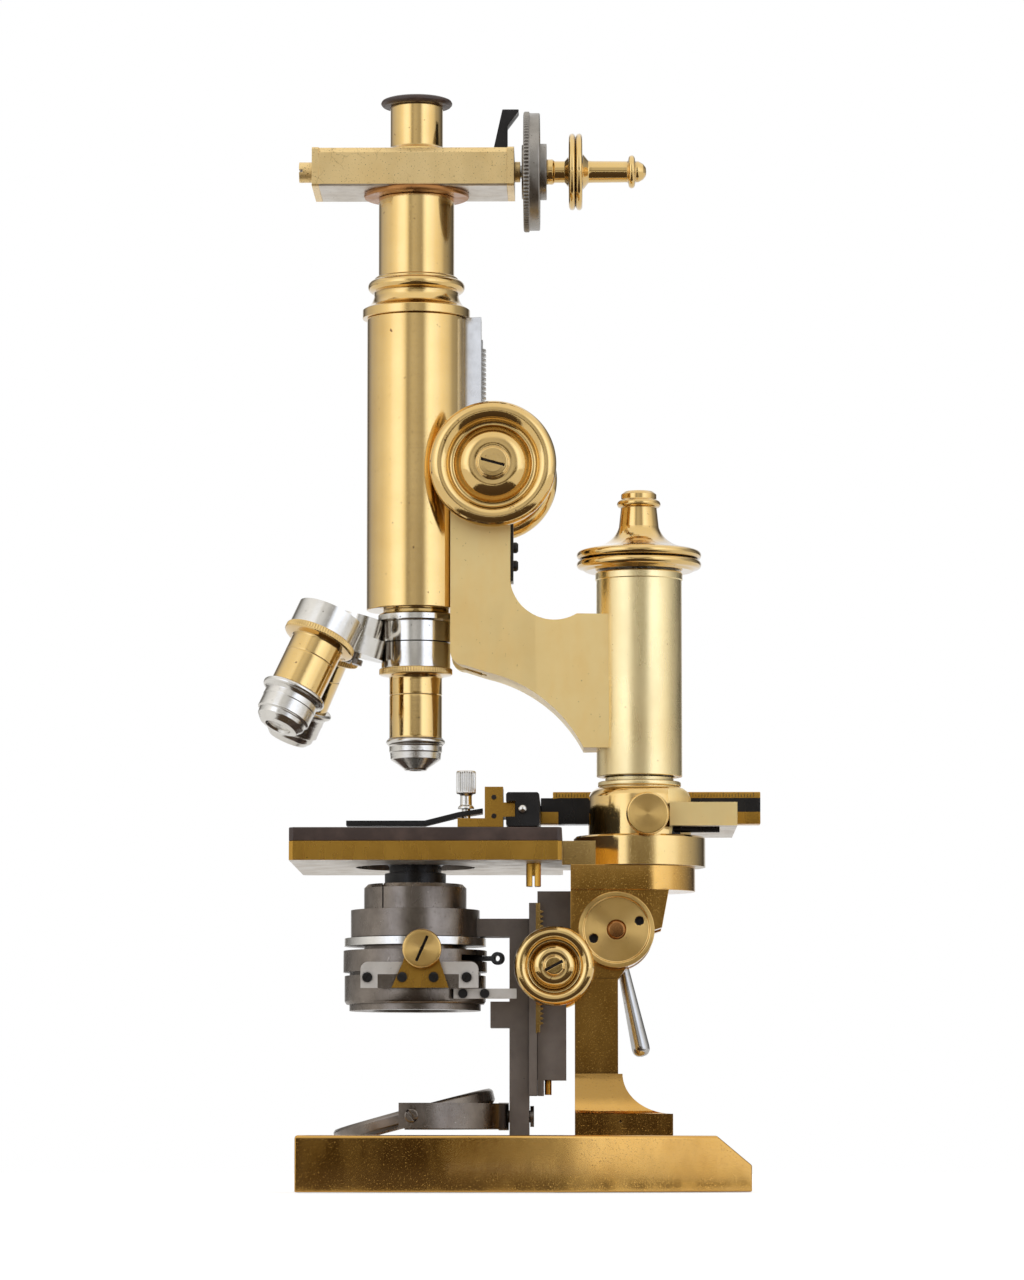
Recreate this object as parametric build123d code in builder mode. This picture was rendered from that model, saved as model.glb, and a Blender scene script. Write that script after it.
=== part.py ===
"""Brass compound microscope on a horseshoe foot, with an eyepiece micrometer.

Frame: millimetres, +Z up, +X from the mirror towards the pillar's back.
The origin is on the resting face, under the pillar's centreline.
"""

import os
from math import cos, pi, radians, sin

from build123d import *

os.makedirs("parts", exist_ok=True)

# --- fits and gaps -------------------------------------------------------
RUN = 0.06            # radial clearance of a shaft in its bore
GAP = 0.3             # gap between faces that slide past each other
FACET_EDGE = 0.6      # chamfer that breaks the sharp edges of castings

# --- foot and pillar -----------------------------------------------------
FOOT_HEIGHT = 18.0
FOOT_HALF_WIDTH = 50.0
FOOT_TOE = 95.5       # toes' ends, in front of the pillar's centreline
FOOT_SHOULDER = 10.4  # where the toes' outer sides turn inwards
FOOT_HEEL = 50.0      # heel's end, behind the centreline
HEEL_HALF_WIDTH = 21.0
HEEL_BEVEL = 11.5
HEEL_BEVEL_DROP = 9.5
OPENING_HALF_WIDTH = 32.0
OPENING_END = 14.0    # closed end of the horseshoe's opening
OPENING_CORNER = 9.0

PILLAR_HALF_DEPTH = 12.0
PILLAR_HALF_THICK = 7.0
PLINTH_HEIGHT = 7.0
PLINTH_BACK = 24.6
PLINTH_HALF_DEPTH = 18.0
FLARE_TOP = 19.9      # top of the concave base above the foot
FLARE_LEDGE = 1.4     # width of the ledge that the column leaves on the base
PIN_HOLE = 0.5
AXIS_RISE = 66.1      # inclination axis above the foot
AXIS_X = 6.5
TONGUE_HALF = 9.0
TONGUE_RADIUS = 12.0
SHOULDER_DROP = 15.6  # pillar's shoulders below the axis
AXLE_RADIUS = 3.0

# --- stage bracket -------------------------------------------------------
CHEEK_THICK = 8.0
CHEEK_RADIUS = 12.2
BRACKET_RISE = 13.1   # D-block's underside above the axis
BRACKET_FRONT = 8.3
BRACKET_BACK = 23.5
D_HEIGHT = 8.0
D_RADIUS = 18.1
LIMB_X = 14.2         # axis of the limb's cylinder

CAP_RADIUS = 12.3
CAP_THICK = 3.2
CAP_RIM = 1.7
SPANNER_HOLE = 1.3
SPANNER_PITCH = 7.9
LEVER_LENGTH = 38.0
LEVER_ROOT = 1.7
LEVER_TIP = 3.0
LEVER_LEAN = 12.3

# --- stage ---------------------------------------------------------------
STAGE_PLATE = 6.1
STAGE_COVER = 4.4
STAGE_FRONT = 98.0    # stage's front edge, before the pillar's centreline
STAGE_BACK = 11.0
STAGE_HALF_WIDTH = 45.0
STAGE_NECK_HALF = 16.0
STAGE_NECK = 7.8
STAGE_HOLE = 19.5
FLANGE_RADIUS = 21.5
FLANGE_HEIGHT = 9.9
OPTICAL_X = -59.0

# --- limb ----------------------------------------------------------------
POST_RADIUS = 13.0
POST_HEIGHT = 16.4    # post that the clamp collar grips
GLAND_RADIUS = 11.2
GLAND_HEIGHT = 3.0
GLAND_RING_RADIUS = 13.6
GLAND_RING = 1.6      # ring left in sight between the collar and the cylinder
PRISM_RADIUS = 10.4
PRISM_TOP = 52.5      # above the post
CYLINDER_RADIUS = 14.0
CYLINDER_BORE = 11.7
CYLINDER_GAP = 3.3    # post's top to the cylinder's mouth
CYLINDER_HEIGHT = 67.1
CYLINDER_CROWN = 5.0
BAND_HEIGHT = 2.6
FINE_SCREW_RADIUS = 2.5
SPRING_RADIUS = 5.2
SPRING_WIRE = 0.9
SPRING_TURNS = 4
HEAD_RADIUS = 20.5
HEAD_DISC = 7.6
HEAD_GAP = 0.4

ARM_HALF = 13.5
ARM_FRONT = 47.4      # front face of the arm's block
ARM_BLOCK_BACK = 27.9
ARM_TOP_RISE = 49.3   # block's top above the cylinder's top
ARM_TILT_X = 20.0     # where the arm's sides begin to narrow
ARM_NECK_HALF = 9.5

# --- body tube -----------------------------------------------------------
TUBE_RADIUS = 16.25
TUBE_BORE = 12.6
TUBE_FOOT = 189.5
TUBE_LENGTH = 96.7
TUBE_GROOVE = 16.6
DRAW_RADIUS = 12.5
DRAW_WALL = 1.2
DRAW_LENGTH = 108.0
SLIDE_FRONT = 42.9
SLIDE_BACK = 37.5
SLIDE_HALF = 5.0
SLIDE_NARROW = 3.4
RACK_HALF = 2.6
RACK_SHORT = 7.2      # rack's top below the slide's top

# --- rack and pinion pairs ----------------------------------------------
MODULE = 0.5
COARSE_TEETH = 12
COARSE_Z = 235.5
SUB_TEETH = 16
SUB_Z = 72.3
SLIP = 0.15           # gap between flat sliding faces
KNOB_RADIUS = 20.7
KNOB_RIM = 6.6
KNOB_WEB = 4.0
KNOB_DOME = 10.4
KNOB_STANDOFF = 3.0
SHAFT_END_RADIUS = 2.2
SHAFT_END = 6.5

# --- places worked out from the sizes above ------------------------------
FOOT_TOP = FOOT_HEIGHT
AXIS_Z = FOOT_TOP + AXIS_RISE
SHOULDER_Z = AXIS_Z - SHOULDER_DROP
BRACKET_TOP = AXIS_Z + BRACKET_RISE
CHEEK_HALF = TONGUE_HALF + GAP + CHEEK_THICK
STAGE_Z = BRACKET_TOP + D_HEIGHT
STAGE_TOP = STAGE_Z + STAGE_PLATE + STAGE_COVER
POST_Z = STAGE_Z + FLANGE_HEIGHT
POST_TOP = POST_Z + POST_HEIGHT
PRISM_Z = POST_TOP + PRISM_TOP
CYLINDER_Z = POST_TOP + CYLINDER_GAP
CYLINDER_TOP = CYLINDER_Z + CYLINDER_HEIGHT
HEAD_Z = CYLINDER_TOP + HEAD_GAP
ARM_TOP = CYLINDER_TOP + ARM_TOP_RISE
TUBE_TOP = TUBE_FOOT + TUBE_LENGTH

COARSE_PITCH_R = MODULE * COARSE_TEETH / 2
SUB_PITCH_R = MODULE * SUB_TEETH / 2

optical = Plane((OPTICAL_X, 0, 0))
limb = Plane((LIMB_X, 0, 0))
axis_front = Plane((AXIS_X, 0, AXIS_Z), x_dir=(1, 0, 0), z_dir=(0, -1, 0))
axis_rear = Plane((AXIS_X, 0, AXIS_Z), x_dir=(1, 0, 0), z_dir=(0, 1, 0))


def turn(place, *outline, mode=Mode.ADD):
    """Turn a closed outline of (radius, height) points about the Z axis of a plane."""
    lengthwise = Plane(place.origin, x_dir=place.x_dir, z_dir=-place.y_dir)
    with BuildSketch(lengthwise) as section:
        with BuildLine():
            Polyline(*outline, close=True)
        make_face()
    revolve(section.sketch, axis=Axis(place.origin, place.z_dir), mode=mode)


def bead(place, radius, height, thick, mode=Mode.ADD):
    """Turn a round bead: a circle of the given thickness that runs at a radius."""
    lengthwise = Plane(place.origin, x_dir=place.x_dir, z_dir=-place.y_dir)
    with BuildSketch(lengthwise) as section:
        with Locations((radius - thick / 2, height)):
            Circle(thick / 2)
    revolve(section.sketch, axis=Axis(place.origin, place.z_dir), mode=mode)


def rod(place, radius, start, length, mode=Mode.ADD):
    """Round rod along a plane's Z axis, from a start height."""
    with BuildSketch(place.offset(start)) as section:
        Circle(radius)
    extrude(section.sketch, amount=length, mode=mode)


def block(x, y, z, mode=Mode.ADD):
    """Box between pairs of limits, given as (low, high) along X, Y and Z."""
    with BuildSketch(Plane.XY.offset(z[0])) as section:
        with Locations(((x[0] + x[1]) / 2, (y[0] + y[1]) / 2)):
            Rectangle(x[1] - x[0], y[1] - y[0])
    extrude(section.sketch, amount=z[1] - z[0], mode=mode)


def slot(place, height, length, width, depth, turn_deg):
    """Screwdriver slot cut down from a height on a plane's Z axis."""
    with BuildSketch(place.offset(height)) as section:
        Rectangle(length, width, rotation=turn_deg)
    extrude(section.sketch, amount=-depth, mode=Mode.SUBTRACT)


def save(part, name):
    """Label a finished piece and write it as a STEP file of the same name."""
    part.label = name
    export_step(part, f"parts/{name}.step")


# --- foot ----------------------------------------------------------------
with BuildPart() as horseshoe_foot:
    with BuildSketch():
        with BuildLine():
            Polyline(
                (-FOOT_TOE, FOOT_HALF_WIDTH),
                (-FOOT_SHOULDER, FOOT_HALF_WIDTH),
                (FOOT_HEEL - HEEL_BEVEL, HEEL_HALF_WIDTH),
                (FOOT_HEEL, HEEL_HALF_WIDTH - HEEL_BEVEL / 2),
                (FOOT_HEEL, -HEEL_HALF_WIDTH + HEEL_BEVEL / 2),
                (FOOT_HEEL - HEEL_BEVEL, -HEEL_HALF_WIDTH),
                (-FOOT_SHOULDER, -FOOT_HALF_WIDTH),
                (-FOOT_TOE, -FOOT_HALF_WIDTH),
                close=True,
            )
        make_face()
        with Locations((-(FOOT_TOE + OPENING_END), 0)):
            RectangleRounded(2 * FOOT_TOE, 2 * OPENING_HALF_WIDTH, OPENING_CORNER, mode=Mode.SUBTRACT)
    extrude(amount=FOOT_HEIGHT)
    chamfer(horseshoe_foot.faces().sort_by(Axis.Z)[-1].edges(), FACET_EDGE)
    with BuildSketch(Plane.XZ):
        with BuildLine():
            Polyline(
                (FOOT_HEEL - HEEL_BEVEL, FOOT_HEIGHT),
                (FOOT_HEEL, FOOT_HEIGHT),
                (FOOT_HEEL, FOOT_HEIGHT - HEEL_BEVEL_DROP),
                close=True,
            )
        make_face()
    extrude(amount=FOOT_HALF_WIDTH, both=True, mode=Mode.SUBTRACT)
save(horseshoe_foot.part, "horseshoe_foot")

# --- pillar: plinth, concave base, column and rounded tongue ------------
plinth_top = FOOT_TOP + PLINTH_HEIGHT
ledge_z = FOOT_TOP + FLARE_TOP
ledge_back = PILLAR_HALF_THICK + FLARE_LEDGE
ledge_half = PILLAR_HALF_DEPTH + FLARE_LEDGE
with BuildPart() as pillar:
    with BuildSketch(Plane.XZ):
        with BuildLine():
            Polyline(
                (ledge_back, ledge_z),
                (-PILLAR_HALF_THICK, ledge_z),
                (-PILLAR_HALF_THICK, FOOT_TOP),
                (PLINTH_BACK, FOOT_TOP),
                (PLINTH_BACK, plinth_top),
            )
            EllipticalCenterArc(
                (PLINTH_BACK, ledge_z),
                PLINTH_BACK - ledge_back,
                ledge_z - plinth_top,
                start_angle=180,
                arc_size=90,
            )
        make_face()
    extrude(amount=PLINTH_HALF_DEPTH, both=True)
    with BuildSketch(Plane.YZ):
        with BuildLine():
            Polyline(
                (0, ledge_z),
                (0, FOOT_TOP),
                (PLINTH_HALF_DEPTH, FOOT_TOP),
                (PLINTH_HALF_DEPTH, plinth_top),
            )
            EllipticalCenterArc(
                (PLINTH_HALF_DEPTH, ledge_z),
                PLINTH_HALF_DEPTH - ledge_half,
                ledge_z - plinth_top,
                start_angle=180,
                arc_size=90,
            )
            Line((ledge_half, ledge_z), (0, ledge_z))
        make_face()
        mirror(about=Plane.YZ)
    extrude(amount=PLINTH_BACK, both=True, mode=Mode.INTERSECT)
    block(
        (-PILLAR_HALF_THICK, PILLAR_HALF_THICK),
        (-PILLAR_HALF_DEPTH, PILLAR_HALF_DEPTH),
        (ledge_z, SHOULDER_Z),
    )
    pin_way = Plane(
        (ledge_back - FLARE_LEDGE / 2, 0, FOOT_TOP + 0.65 * PLINTH_HEIGHT),
        x_dir=(1, 0, 0),
        z_dir=(0, -1, 0),
    )
    rod(pin_way, PIN_HOLE, PLINTH_HALF_DEPTH - 2 * PIN_HOLE, 2 * PIN_HOLE, mode=Mode.SUBTRACT)
    with BuildSketch(Plane.XZ):
        with BuildLine():
            Polyline(
                (-PILLAR_HALF_THICK, SHOULDER_Z),
                (PILLAR_HALF_THICK, SHOULDER_Z),
                (AXIS_X + TONGUE_RADIUS, AXIS_Z),
                (AXIS_X - TONGUE_RADIUS, AXIS_Z),
                close=True,
            )
        make_face()
        with Locations((AXIS_X, AXIS_Z)):
            Circle(TONGUE_RADIUS)
    extrude(amount=TONGUE_HALF, both=True)
    rod(axis_front, AXLE_RADIUS + RUN, -TONGUE_HALF, 2 * TONGUE_HALF, mode=Mode.SUBTRACT)
save(pillar.part, "pillar")

# --- inclination joint ---------------------------------------------------
NUT_THICK = 5.0
NUT_RADIUS = 9.0
AXLE_FRONT = CHEEK_HALF + CAP_THICK
AXLE_REAR = CHEEK_HALF + GAP + NUT_THICK + 1.5

with BuildPart() as inclination_axle:
    rod(axis_front, AXLE_RADIUS, -AXLE_REAR, AXLE_FRONT + AXLE_REAR)
    chamfer(inclination_axle.edges().filter_by(GeomType.CIRCLE), FACET_EDGE)
save(inclination_axle.part, "inclination_axle")

with BuildPart() as joint_cap:
    turn(
        axis_front,
        (AXLE_RADIUS, CHEEK_HALF),
        (CAP_RADIUS, CHEEK_HALF),
        (CAP_RADIUS, AXLE_FRONT - FACET_EDGE),
        (CAP_RADIUS - FACET_EDGE, AXLE_FRONT),
        (CAP_RADIUS - CAP_RIM, AXLE_FRONT),
        (CAP_RADIUS - CAP_RIM, AXLE_FRONT - FACET_EDGE),
        (AXLE_RADIUS, AXLE_FRONT - FACET_EDGE),
    )
    with BuildSketch(axis_front.offset(AXLE_FRONT)):
        with PolarLocations(SPANNER_PITCH, 2, start_angle=21):
            Circle(SPANNER_HOLE)
    extrude(amount=-CAP_THICK * 0.8, mode=Mode.SUBTRACT)
save(joint_cap.part, "joint_cap")

# clamp lever: an eye on the axle's end, with a tapered silver handle
lever_eye = axis_rear.offset(CHEEK_HALF + GAP)
lean = radians(LEVER_LEAN)
lever_way = Plane(
    lever_eye.origin + Vector(0, NUT_THICK / 2, 0),
    x_dir=(0, 1, 0),
    z_dir=(sin(lean), 0, -cos(lean)),
)
with BuildPart() as clamp_lever:
    turn(
        lever_eye,
        (AXLE_RADIUS + RUN, 0),
        (NUT_RADIUS, 0),
        (NUT_RADIUS, NUT_THICK - FACET_EDGE),
        (NUT_RADIUS - FACET_EDGE, NUT_THICK),
        (AXLE_RADIUS + RUN, NUT_THICK),
    )
    turn(
        lever_way,
        (0, NUT_RADIUS - 1.5),
        (LEVER_ROOT, NUT_RADIUS - 1.5),
        (LEVER_TIP, LEVER_LENGTH),
        (0, LEVER_LENGTH),
    )
    turn(
        lever_way,
        (0, LEVER_LENGTH),
        (LEVER_TIP, LEVER_LENGTH),
        (LEVER_TIP * 0.8, LEVER_LENGTH + LEVER_TIP * 0.6),
        (0, LEVER_LENGTH + LEVER_TIP),
    )
save(clamp_lever.part, "clamp_lever")

# --- stage bracket: two cheeks and the D-block above them ---------------
with BuildPart() as stage_bracket:
    with BuildSketch(Plane.XZ):
        with BuildLine():
            Polyline(
                (-BRACKET_FRONT, BRACKET_TOP),
                (-BRACKET_FRONT, AXIS_Z - CHEEK_RADIUS / 2),
                (AXIS_X, AXIS_Z - CHEEK_RADIUS),
                (AXIS_X + CHEEK_RADIUS, AXIS_Z),
                (BRACKET_BACK - 2.3, AXIS_Z + 0.8),
                (BRACKET_BACK, BRACKET_TOP),
                close=True,
            )
        make_face()
        with Locations((AXIS_X, AXIS_Z)):
            Circle(CHEEK_RADIUS)
    extrude(amount=CHEEK_HALF, both=True)
    with BuildSketch(Plane.XZ):
        with Locations((AXIS_X, AXIS_Z)):
            Rectangle(3 * D_RADIUS, 2 * BRACKET_RISE)
    extrude(amount=TONGUE_HALF + GAP, both=True, mode=Mode.SUBTRACT)
    with BuildSketch(Plane.XY.offset(BRACKET_TOP)):
        with Locations((LIMB_X, 0)):
            Circle(D_RADIUS)
        with Locations(((LIMB_X - BRACKET_FRONT) / 2, 0)):
            Rectangle(LIMB_X + BRACKET_FRONT, 2 * D_RADIUS)
    extrude(amount=D_HEIGHT)
    rod(axis_front, AXLE_RADIUS, -CHEEK_HALF, 2 * CHEEK_HALF, mode=Mode.SUBTRACT)
save(stage_bracket.part, "stage_bracket")

# --- stage plate, with its neck and the round flange about the limb -----
with BuildPart() as stage_frame:
    with BuildSketch(Plane.XY.offset(STAGE_Z)):
        with Locations((-(STAGE_FRONT + STAGE_BACK) / 2, 0)):
            Rectangle(STAGE_FRONT - STAGE_BACK, 2 * STAGE_HALF_WIDTH)
    extrude(amount=STAGE_PLATE)
    chamfer(stage_frame.edges().filter_by(Axis.Z), 2 * FACET_EDGE)
    block((-STAGE_BACK, LIMB_X), (-STAGE_NECK_HALF, STAGE_NECK_HALF), (STAGE_Z, STAGE_Z + STAGE_NECK))
    turn(
        limb,
        (0, STAGE_Z),
        (FLANGE_RADIUS, STAGE_Z),
        (FLANGE_RADIUS, POST_Z - FACET_EDGE),
        (FLANGE_RADIUS - FACET_EDGE, POST_Z),
        (0, POST_Z),
    )
    rod(optical, STAGE_HOLE, STAGE_Z, STAGE_PLATE, mode=Mode.SUBTRACT)
save(stage_frame.part, "stage_frame")

with BuildPart() as stage_cover:
    with BuildSketch(Plane.XY.offset(STAGE_Z + STAGE_PLATE)):
        with Locations((-(STAGE_FRONT + STAGE_BACK) / 2, 0)):
            Rectangle(STAGE_FRONT - STAGE_BACK, 2 * STAGE_HALF_WIDTH)
    extrude(amount=STAGE_COVER)
    chamfer(stage_cover.edges().filter_by(Axis.Z), 2 * FACET_EDGE)
    rod(optical, STAGE_HOLE, STAGE_Z, STAGE_PLATE + STAGE_COVER, mode=Mode.SUBTRACT)
save(stage_cover.part, "stage_cover")

STOP_PIN_RADIUS = 2.4
STOP_PIN_DROP = 7.5
stop_pin_at = Plane((-20.2, -24.0, STAGE_Z), z_dir=(0, 0, -1))
with BuildPart() as stage_stop_pin:
    rod(stop_pin_at, STOP_PIN_RADIUS, 0, STOP_PIN_DROP)
    slot(stop_pin_at, STOP_PIN_DROP, 3 * STOP_PIN_RADIUS, 0.7, 3.5, 90)
save(stage_stop_pin.part, "stage_stop_pin")

# --- limb: post, steel prism, spring and cylinder -----------------------
SPIGOT_RADIUS = 4.0
GLAND_TOP = POST_TOP + GLAND_HEIGHT
CROWN_Z = CYLINDER_TOP - CYLINDER_CROWN
GUIDE_HEIGHT = 8.0
SCREW_DEPTH = 16.0

with BuildPart() as limb_post:
    turn(
        limb,
        (SPIGOT_RADIUS, POST_Z),
        (POST_RADIUS, POST_Z),
        (POST_RADIUS, POST_TOP),
        (GLAND_RING_RADIUS, POST_TOP),
        (GLAND_RING_RADIUS, POST_TOP + GLAND_RING - GAP),
        (GLAND_RING_RADIUS - GAP, POST_TOP + GLAND_RING),
        (GLAND_RADIUS, POST_TOP + GLAND_RING),
        (GLAND_RADIUS, GLAND_TOP),
        (SPIGOT_RADIUS, GLAND_TOP),
    )
save(limb_post.part, "limb_post")

with BuildPart() as focus_prism:
    with BuildSketch(limb.offset(GLAND_TOP)):
        RegularPolygon(PRISM_RADIUS, 3)
    extrude(amount=PRISM_Z - GLAND_TOP)
    rod(limb, SPIGOT_RADIUS, POST_Z, GLAND_TOP - POST_Z)
    rod(limb, FINE_SCREW_RADIUS + RUN, PRISM_Z - SCREW_DEPTH, SCREW_DEPTH, mode=Mode.SUBTRACT)
save(focus_prism.part, "focus_prism")

with BuildPart() as focus_spring:
    coil_start = PRISM_Z + SPRING_WIRE / 2
    coil_height = CROWN_Z - PRISM_Z - SPRING_WIRE
    with BuildLine(limb.offset(coil_start)):
        coil = Helix(coil_height / SPRING_TURNS, coil_height, SPRING_RADIUS)
    with BuildSketch(Plane(coil @ 0, z_dir=coil % 0)):
        Circle(SPRING_WIRE / 2)
    sweep(path=coil, is_frenet=True)
save(focus_spring.part, "focus_spring")

with BuildPart() as limb_cylinder:
    turn(
        limb,
        (0, CYLINDER_Z),
        (CYLINDER_RADIUS, CYLINDER_Z),
        (CYLINDER_RADIUS, CYLINDER_TOP - BAND_HEIGHT),
        (CYLINDER_RADIUS + GAP, CYLINDER_TOP - BAND_HEIGHT),
        (CYLINDER_RADIUS + GAP, CYLINDER_TOP - GAP),
        (CYLINDER_RADIUS, CYLINDER_TOP),
        (0, CYLINDER_TOP),
    )
    with BuildSketch(limb.offset(CYLINDER_Z)):
        RegularPolygon(PRISM_RADIUS + 2 * SLIP, 3)
    extrude(amount=CROWN_Z - CYLINDER_Z, mode=Mode.SUBTRACT)
    guide_low = CYLINDER_Z + CYLINDER_GAP
    rod(limb, CYLINDER_BORE, CYLINDER_Z, CYLINDER_GAP, mode=Mode.SUBTRACT)
    rod(
        limb,
        CYLINDER_BORE,
        guide_low + GUIDE_HEIGHT,
        PRISM_Z - guide_low - 2.5 * GUIDE_HEIGHT,
        mode=Mode.SUBTRACT,
    )
    rod(limb, CYLINDER_BORE, PRISM_Z - GAP, CROWN_Z - PRISM_Z + GAP, mode=Mode.SUBTRACT)
    rod(limb, FINE_SCREW_RADIUS + RUN, CROWN_Z, CYLINDER_CROWN, mode=Mode.SUBTRACT)
save(limb_cylinder.part, "limb_cylinder")

# fine-focus head: a double-beaded disc, a concave bell and a button
HEAD_BELL = 13.0
HEAD_NECK = 5.85
HEAD_NECK_RISE = 21.0
HEAD_BUTTON = 7.2
HEAD_HEIGHT = 26.5
BEAD_THICK = 3.0
HEAD_BLIND = 2.0

with BuildPart() as fine_focus_head:
    with BuildSketch(Plane(limb.origin, x_dir=(1, 0, 0), z_dir=(0, -1, 0))):
        with BuildLine():
            Polyline(
                (HEAD_BELL, HEAD_Z + HEAD_DISC + 0.7),
                (HEAD_RADIUS - BEAD_THICK / 2, HEAD_Z + HEAD_DISC - 0.7),
                (HEAD_RADIUS - BEAD_THICK / 2, HEAD_Z + 0.7),
                (HEAD_RADIUS - BEAD_THICK, HEAD_Z),
                (0, HEAD_Z),
                (0, HEAD_Z + HEAD_HEIGHT),
                (HEAD_NECK - 1.2, HEAD_Z + HEAD_HEIGHT),
                (HEAD_NECK, HEAD_Z + HEAD_HEIGHT - 1.0),
                (HEAD_NECK, HEAD_Z + HEAD_NECK_RISE),
            )
            ThreePointArc(
                (HEAD_NECK, HEAD_Z + HEAD_NECK_RISE),
                (HEAD_NECK + 1.4, HEAD_Z + HEAD_DISC + 6.0),
                (HEAD_BELL, HEAD_Z + HEAD_DISC + 0.7),
            )
        make_face()
    revolve(axis=Axis(limb.origin, limb.z_dir))
    for rise in (BEAD_THICK * 0.75, HEAD_DISC - BEAD_THICK * 0.75):
        bead(limb, HEAD_RADIUS, HEAD_Z + rise, BEAD_THICK)
    bead(limb, HEAD_BUTTON, HEAD_Z + HEAD_NECK_RISE + 1.3, 2.6)
    rod(
        limb,
        FINE_SCREW_RADIUS,
        HEAD_Z,
        HEAD_HEIGHT - HEAD_BLIND,
        mode=Mode.SUBTRACT,
    )
save(fine_focus_head.part, "fine_focus_head")

with BuildPart() as fine_focus_screw:
    screw_tip = PRISM_Z - SCREW_DEPTH + 2 * HEAD_BLIND
    rod(limb, FINE_SCREW_RADIUS, screw_tip, HEAD_Z + HEAD_HEIGHT - HEAD_BLIND - screw_tip)
save(fine_focus_screw.part, "fine_focus_screw")

# --- limb arm: a cranked casting from the cylinder to the tube's slide --
ARM_ROOT_TOP = CYLINDER_TOP - 14.4
ARM_ROOT_LOW = CYLINDER_Z + 8.9
ARM_FLOOR = ARM_TOP - 83.1      # block's lowest edge
ARM_CORNER = 4.7
ARM_SWEEP = 13.5                # radius of the hollow above the arm
ARM_CHIN_X = 35.5
ARM_THROAT_X = 4.1
arm_hollow_z = ARM_ROOT_TOP + ARM_SWEEP * 0.8
pinion_x = -(SLIDE_BACK - 2 * MODULE - 0.1) + COARSE_PITCH_R
JOURNAL_RADIUS = COARSE_PITCH_R + MODULE + 0.1

coarse_front = Plane((pinion_x, 0, COARSE_Z), x_dir=(1, 0, 0), z_dir=(0, -1, 0))
coarse_rear = Plane((pinion_x, 0, COARSE_Z), x_dir=(1, 0, 0), z_dir=(0, 1, 0))


def dovetail(front, back, wide, narrow, bottom, top, mode=Mode.ADD):
    """Dovetail bar along Z: wide at its back, narrow at its front."""
    with BuildSketch(Plane.XY.offset(bottom)) as section:
        with BuildLine():
            Polyline(
                (front, narrow),
                (back, wide),
                (back, -wide),
                (front, -narrow),
                close=True,
            )
        make_face()
    extrude(section.sketch, amount=top - bottom, mode=mode)


with BuildPart() as limb_arm:
    with BuildSketch(Plane.XZ):
        with BuildLine():
            Polyline(
                (-ARM_THROAT_X, ARM_ROOT_LOW),
                (LIMB_X, ARM_ROOT_LOW),
                (LIMB_X, ARM_ROOT_TOP),
                (-ARM_BLOCK_BACK + ARM_SWEEP + 8.2, ARM_ROOT_TOP),
            )
            ThreePointArc(
                (-ARM_BLOCK_BACK + ARM_SWEEP + 8.2, ARM_ROOT_TOP),
                (-ARM_BLOCK_BACK + ARM_SWEEP * 0.38, arm_hollow_z - ARM_SWEEP * 0.72),
                (-ARM_BLOCK_BACK, arm_hollow_z),
            )
            Polyline(
                (-ARM_BLOCK_BACK, arm_hollow_z),
                (-ARM_BLOCK_BACK, ARM_TOP),
                (-ARM_FRONT, ARM_TOP),
                (-ARM_FRONT, ARM_FLOOR + 2.3 + ARM_CORNER),
            )
            RadiusArc(
                (-ARM_FRONT, ARM_FLOOR + 2.3 + ARM_CORNER),
                (-ARM_FRONT + ARM_CORNER, ARM_FLOOR + 2.3),
                -ARM_CORNER,
            )
            Line((-ARM_FRONT + ARM_CORNER, ARM_FLOOR + 2.3), (-ARM_CHIN_X, ARM_FLOOR))
            ThreePointArc(
                (-ARM_CHIN_X, ARM_FLOOR),
                (-ARM_CHIN_X / 2, ARM_FLOOR - 8.2),
                (-ARM_THROAT_X, ARM_ROOT_LOW),
            )
        make_face()
    extrude(amount=ARM_HALF, both=True)
    with BuildSketch(Plane.XY.offset(ARM_ROOT_LOW)):
        with BuildLine():
            Polyline(
                (-ARM_TILT_X, ARM_HALF),
                (LIMB_X - CYLINDER_RADIUS / 2, ARM_NECK_HALF),
                (LIMB_X, ARM_NECK_HALF),
                (LIMB_X, 2 * ARM_HALF),
                (-ARM_TILT_X, 2 * ARM_HALF),
                close=True,
            )
        make_face()
        mirror(about=Plane.XZ)
    extrude(amount=ARM_TOP, mode=Mode.SUBTRACT)
    rod(limb, CYLINDER_RADIUS, 0, ARM_TOP, mode=Mode.SUBTRACT)
    rod(optical, TUBE_GROOVE, 0, ARM_TOP, mode=Mode.SUBTRACT)
    dovetail(
        -SLIDE_FRONT - 3 * SLIP,
        -SLIDE_BACK + SLIP,
        SLIDE_HALF + SLIP,
        SLIDE_NARROW + SLIP,
        0,
        ARM_TOP,
        mode=Mode.SUBTRACT,
    )
    block(
        (-SLIDE_BACK - SLIP, pinion_x - COARSE_PITCH_R + MODULE + SLIP),
        (-RACK_HALF - SLIP, RACK_HALF + SLIP),
        (0, ARM_TOP),
        mode=Mode.SUBTRACT,
    )
    rod(coarse_front, JOURNAL_RADIUS + RUN, -ARM_HALF, 2 * ARM_HALF, mode=Mode.SUBTRACT)
save(limb_arm.part, "limb_arm")

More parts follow.
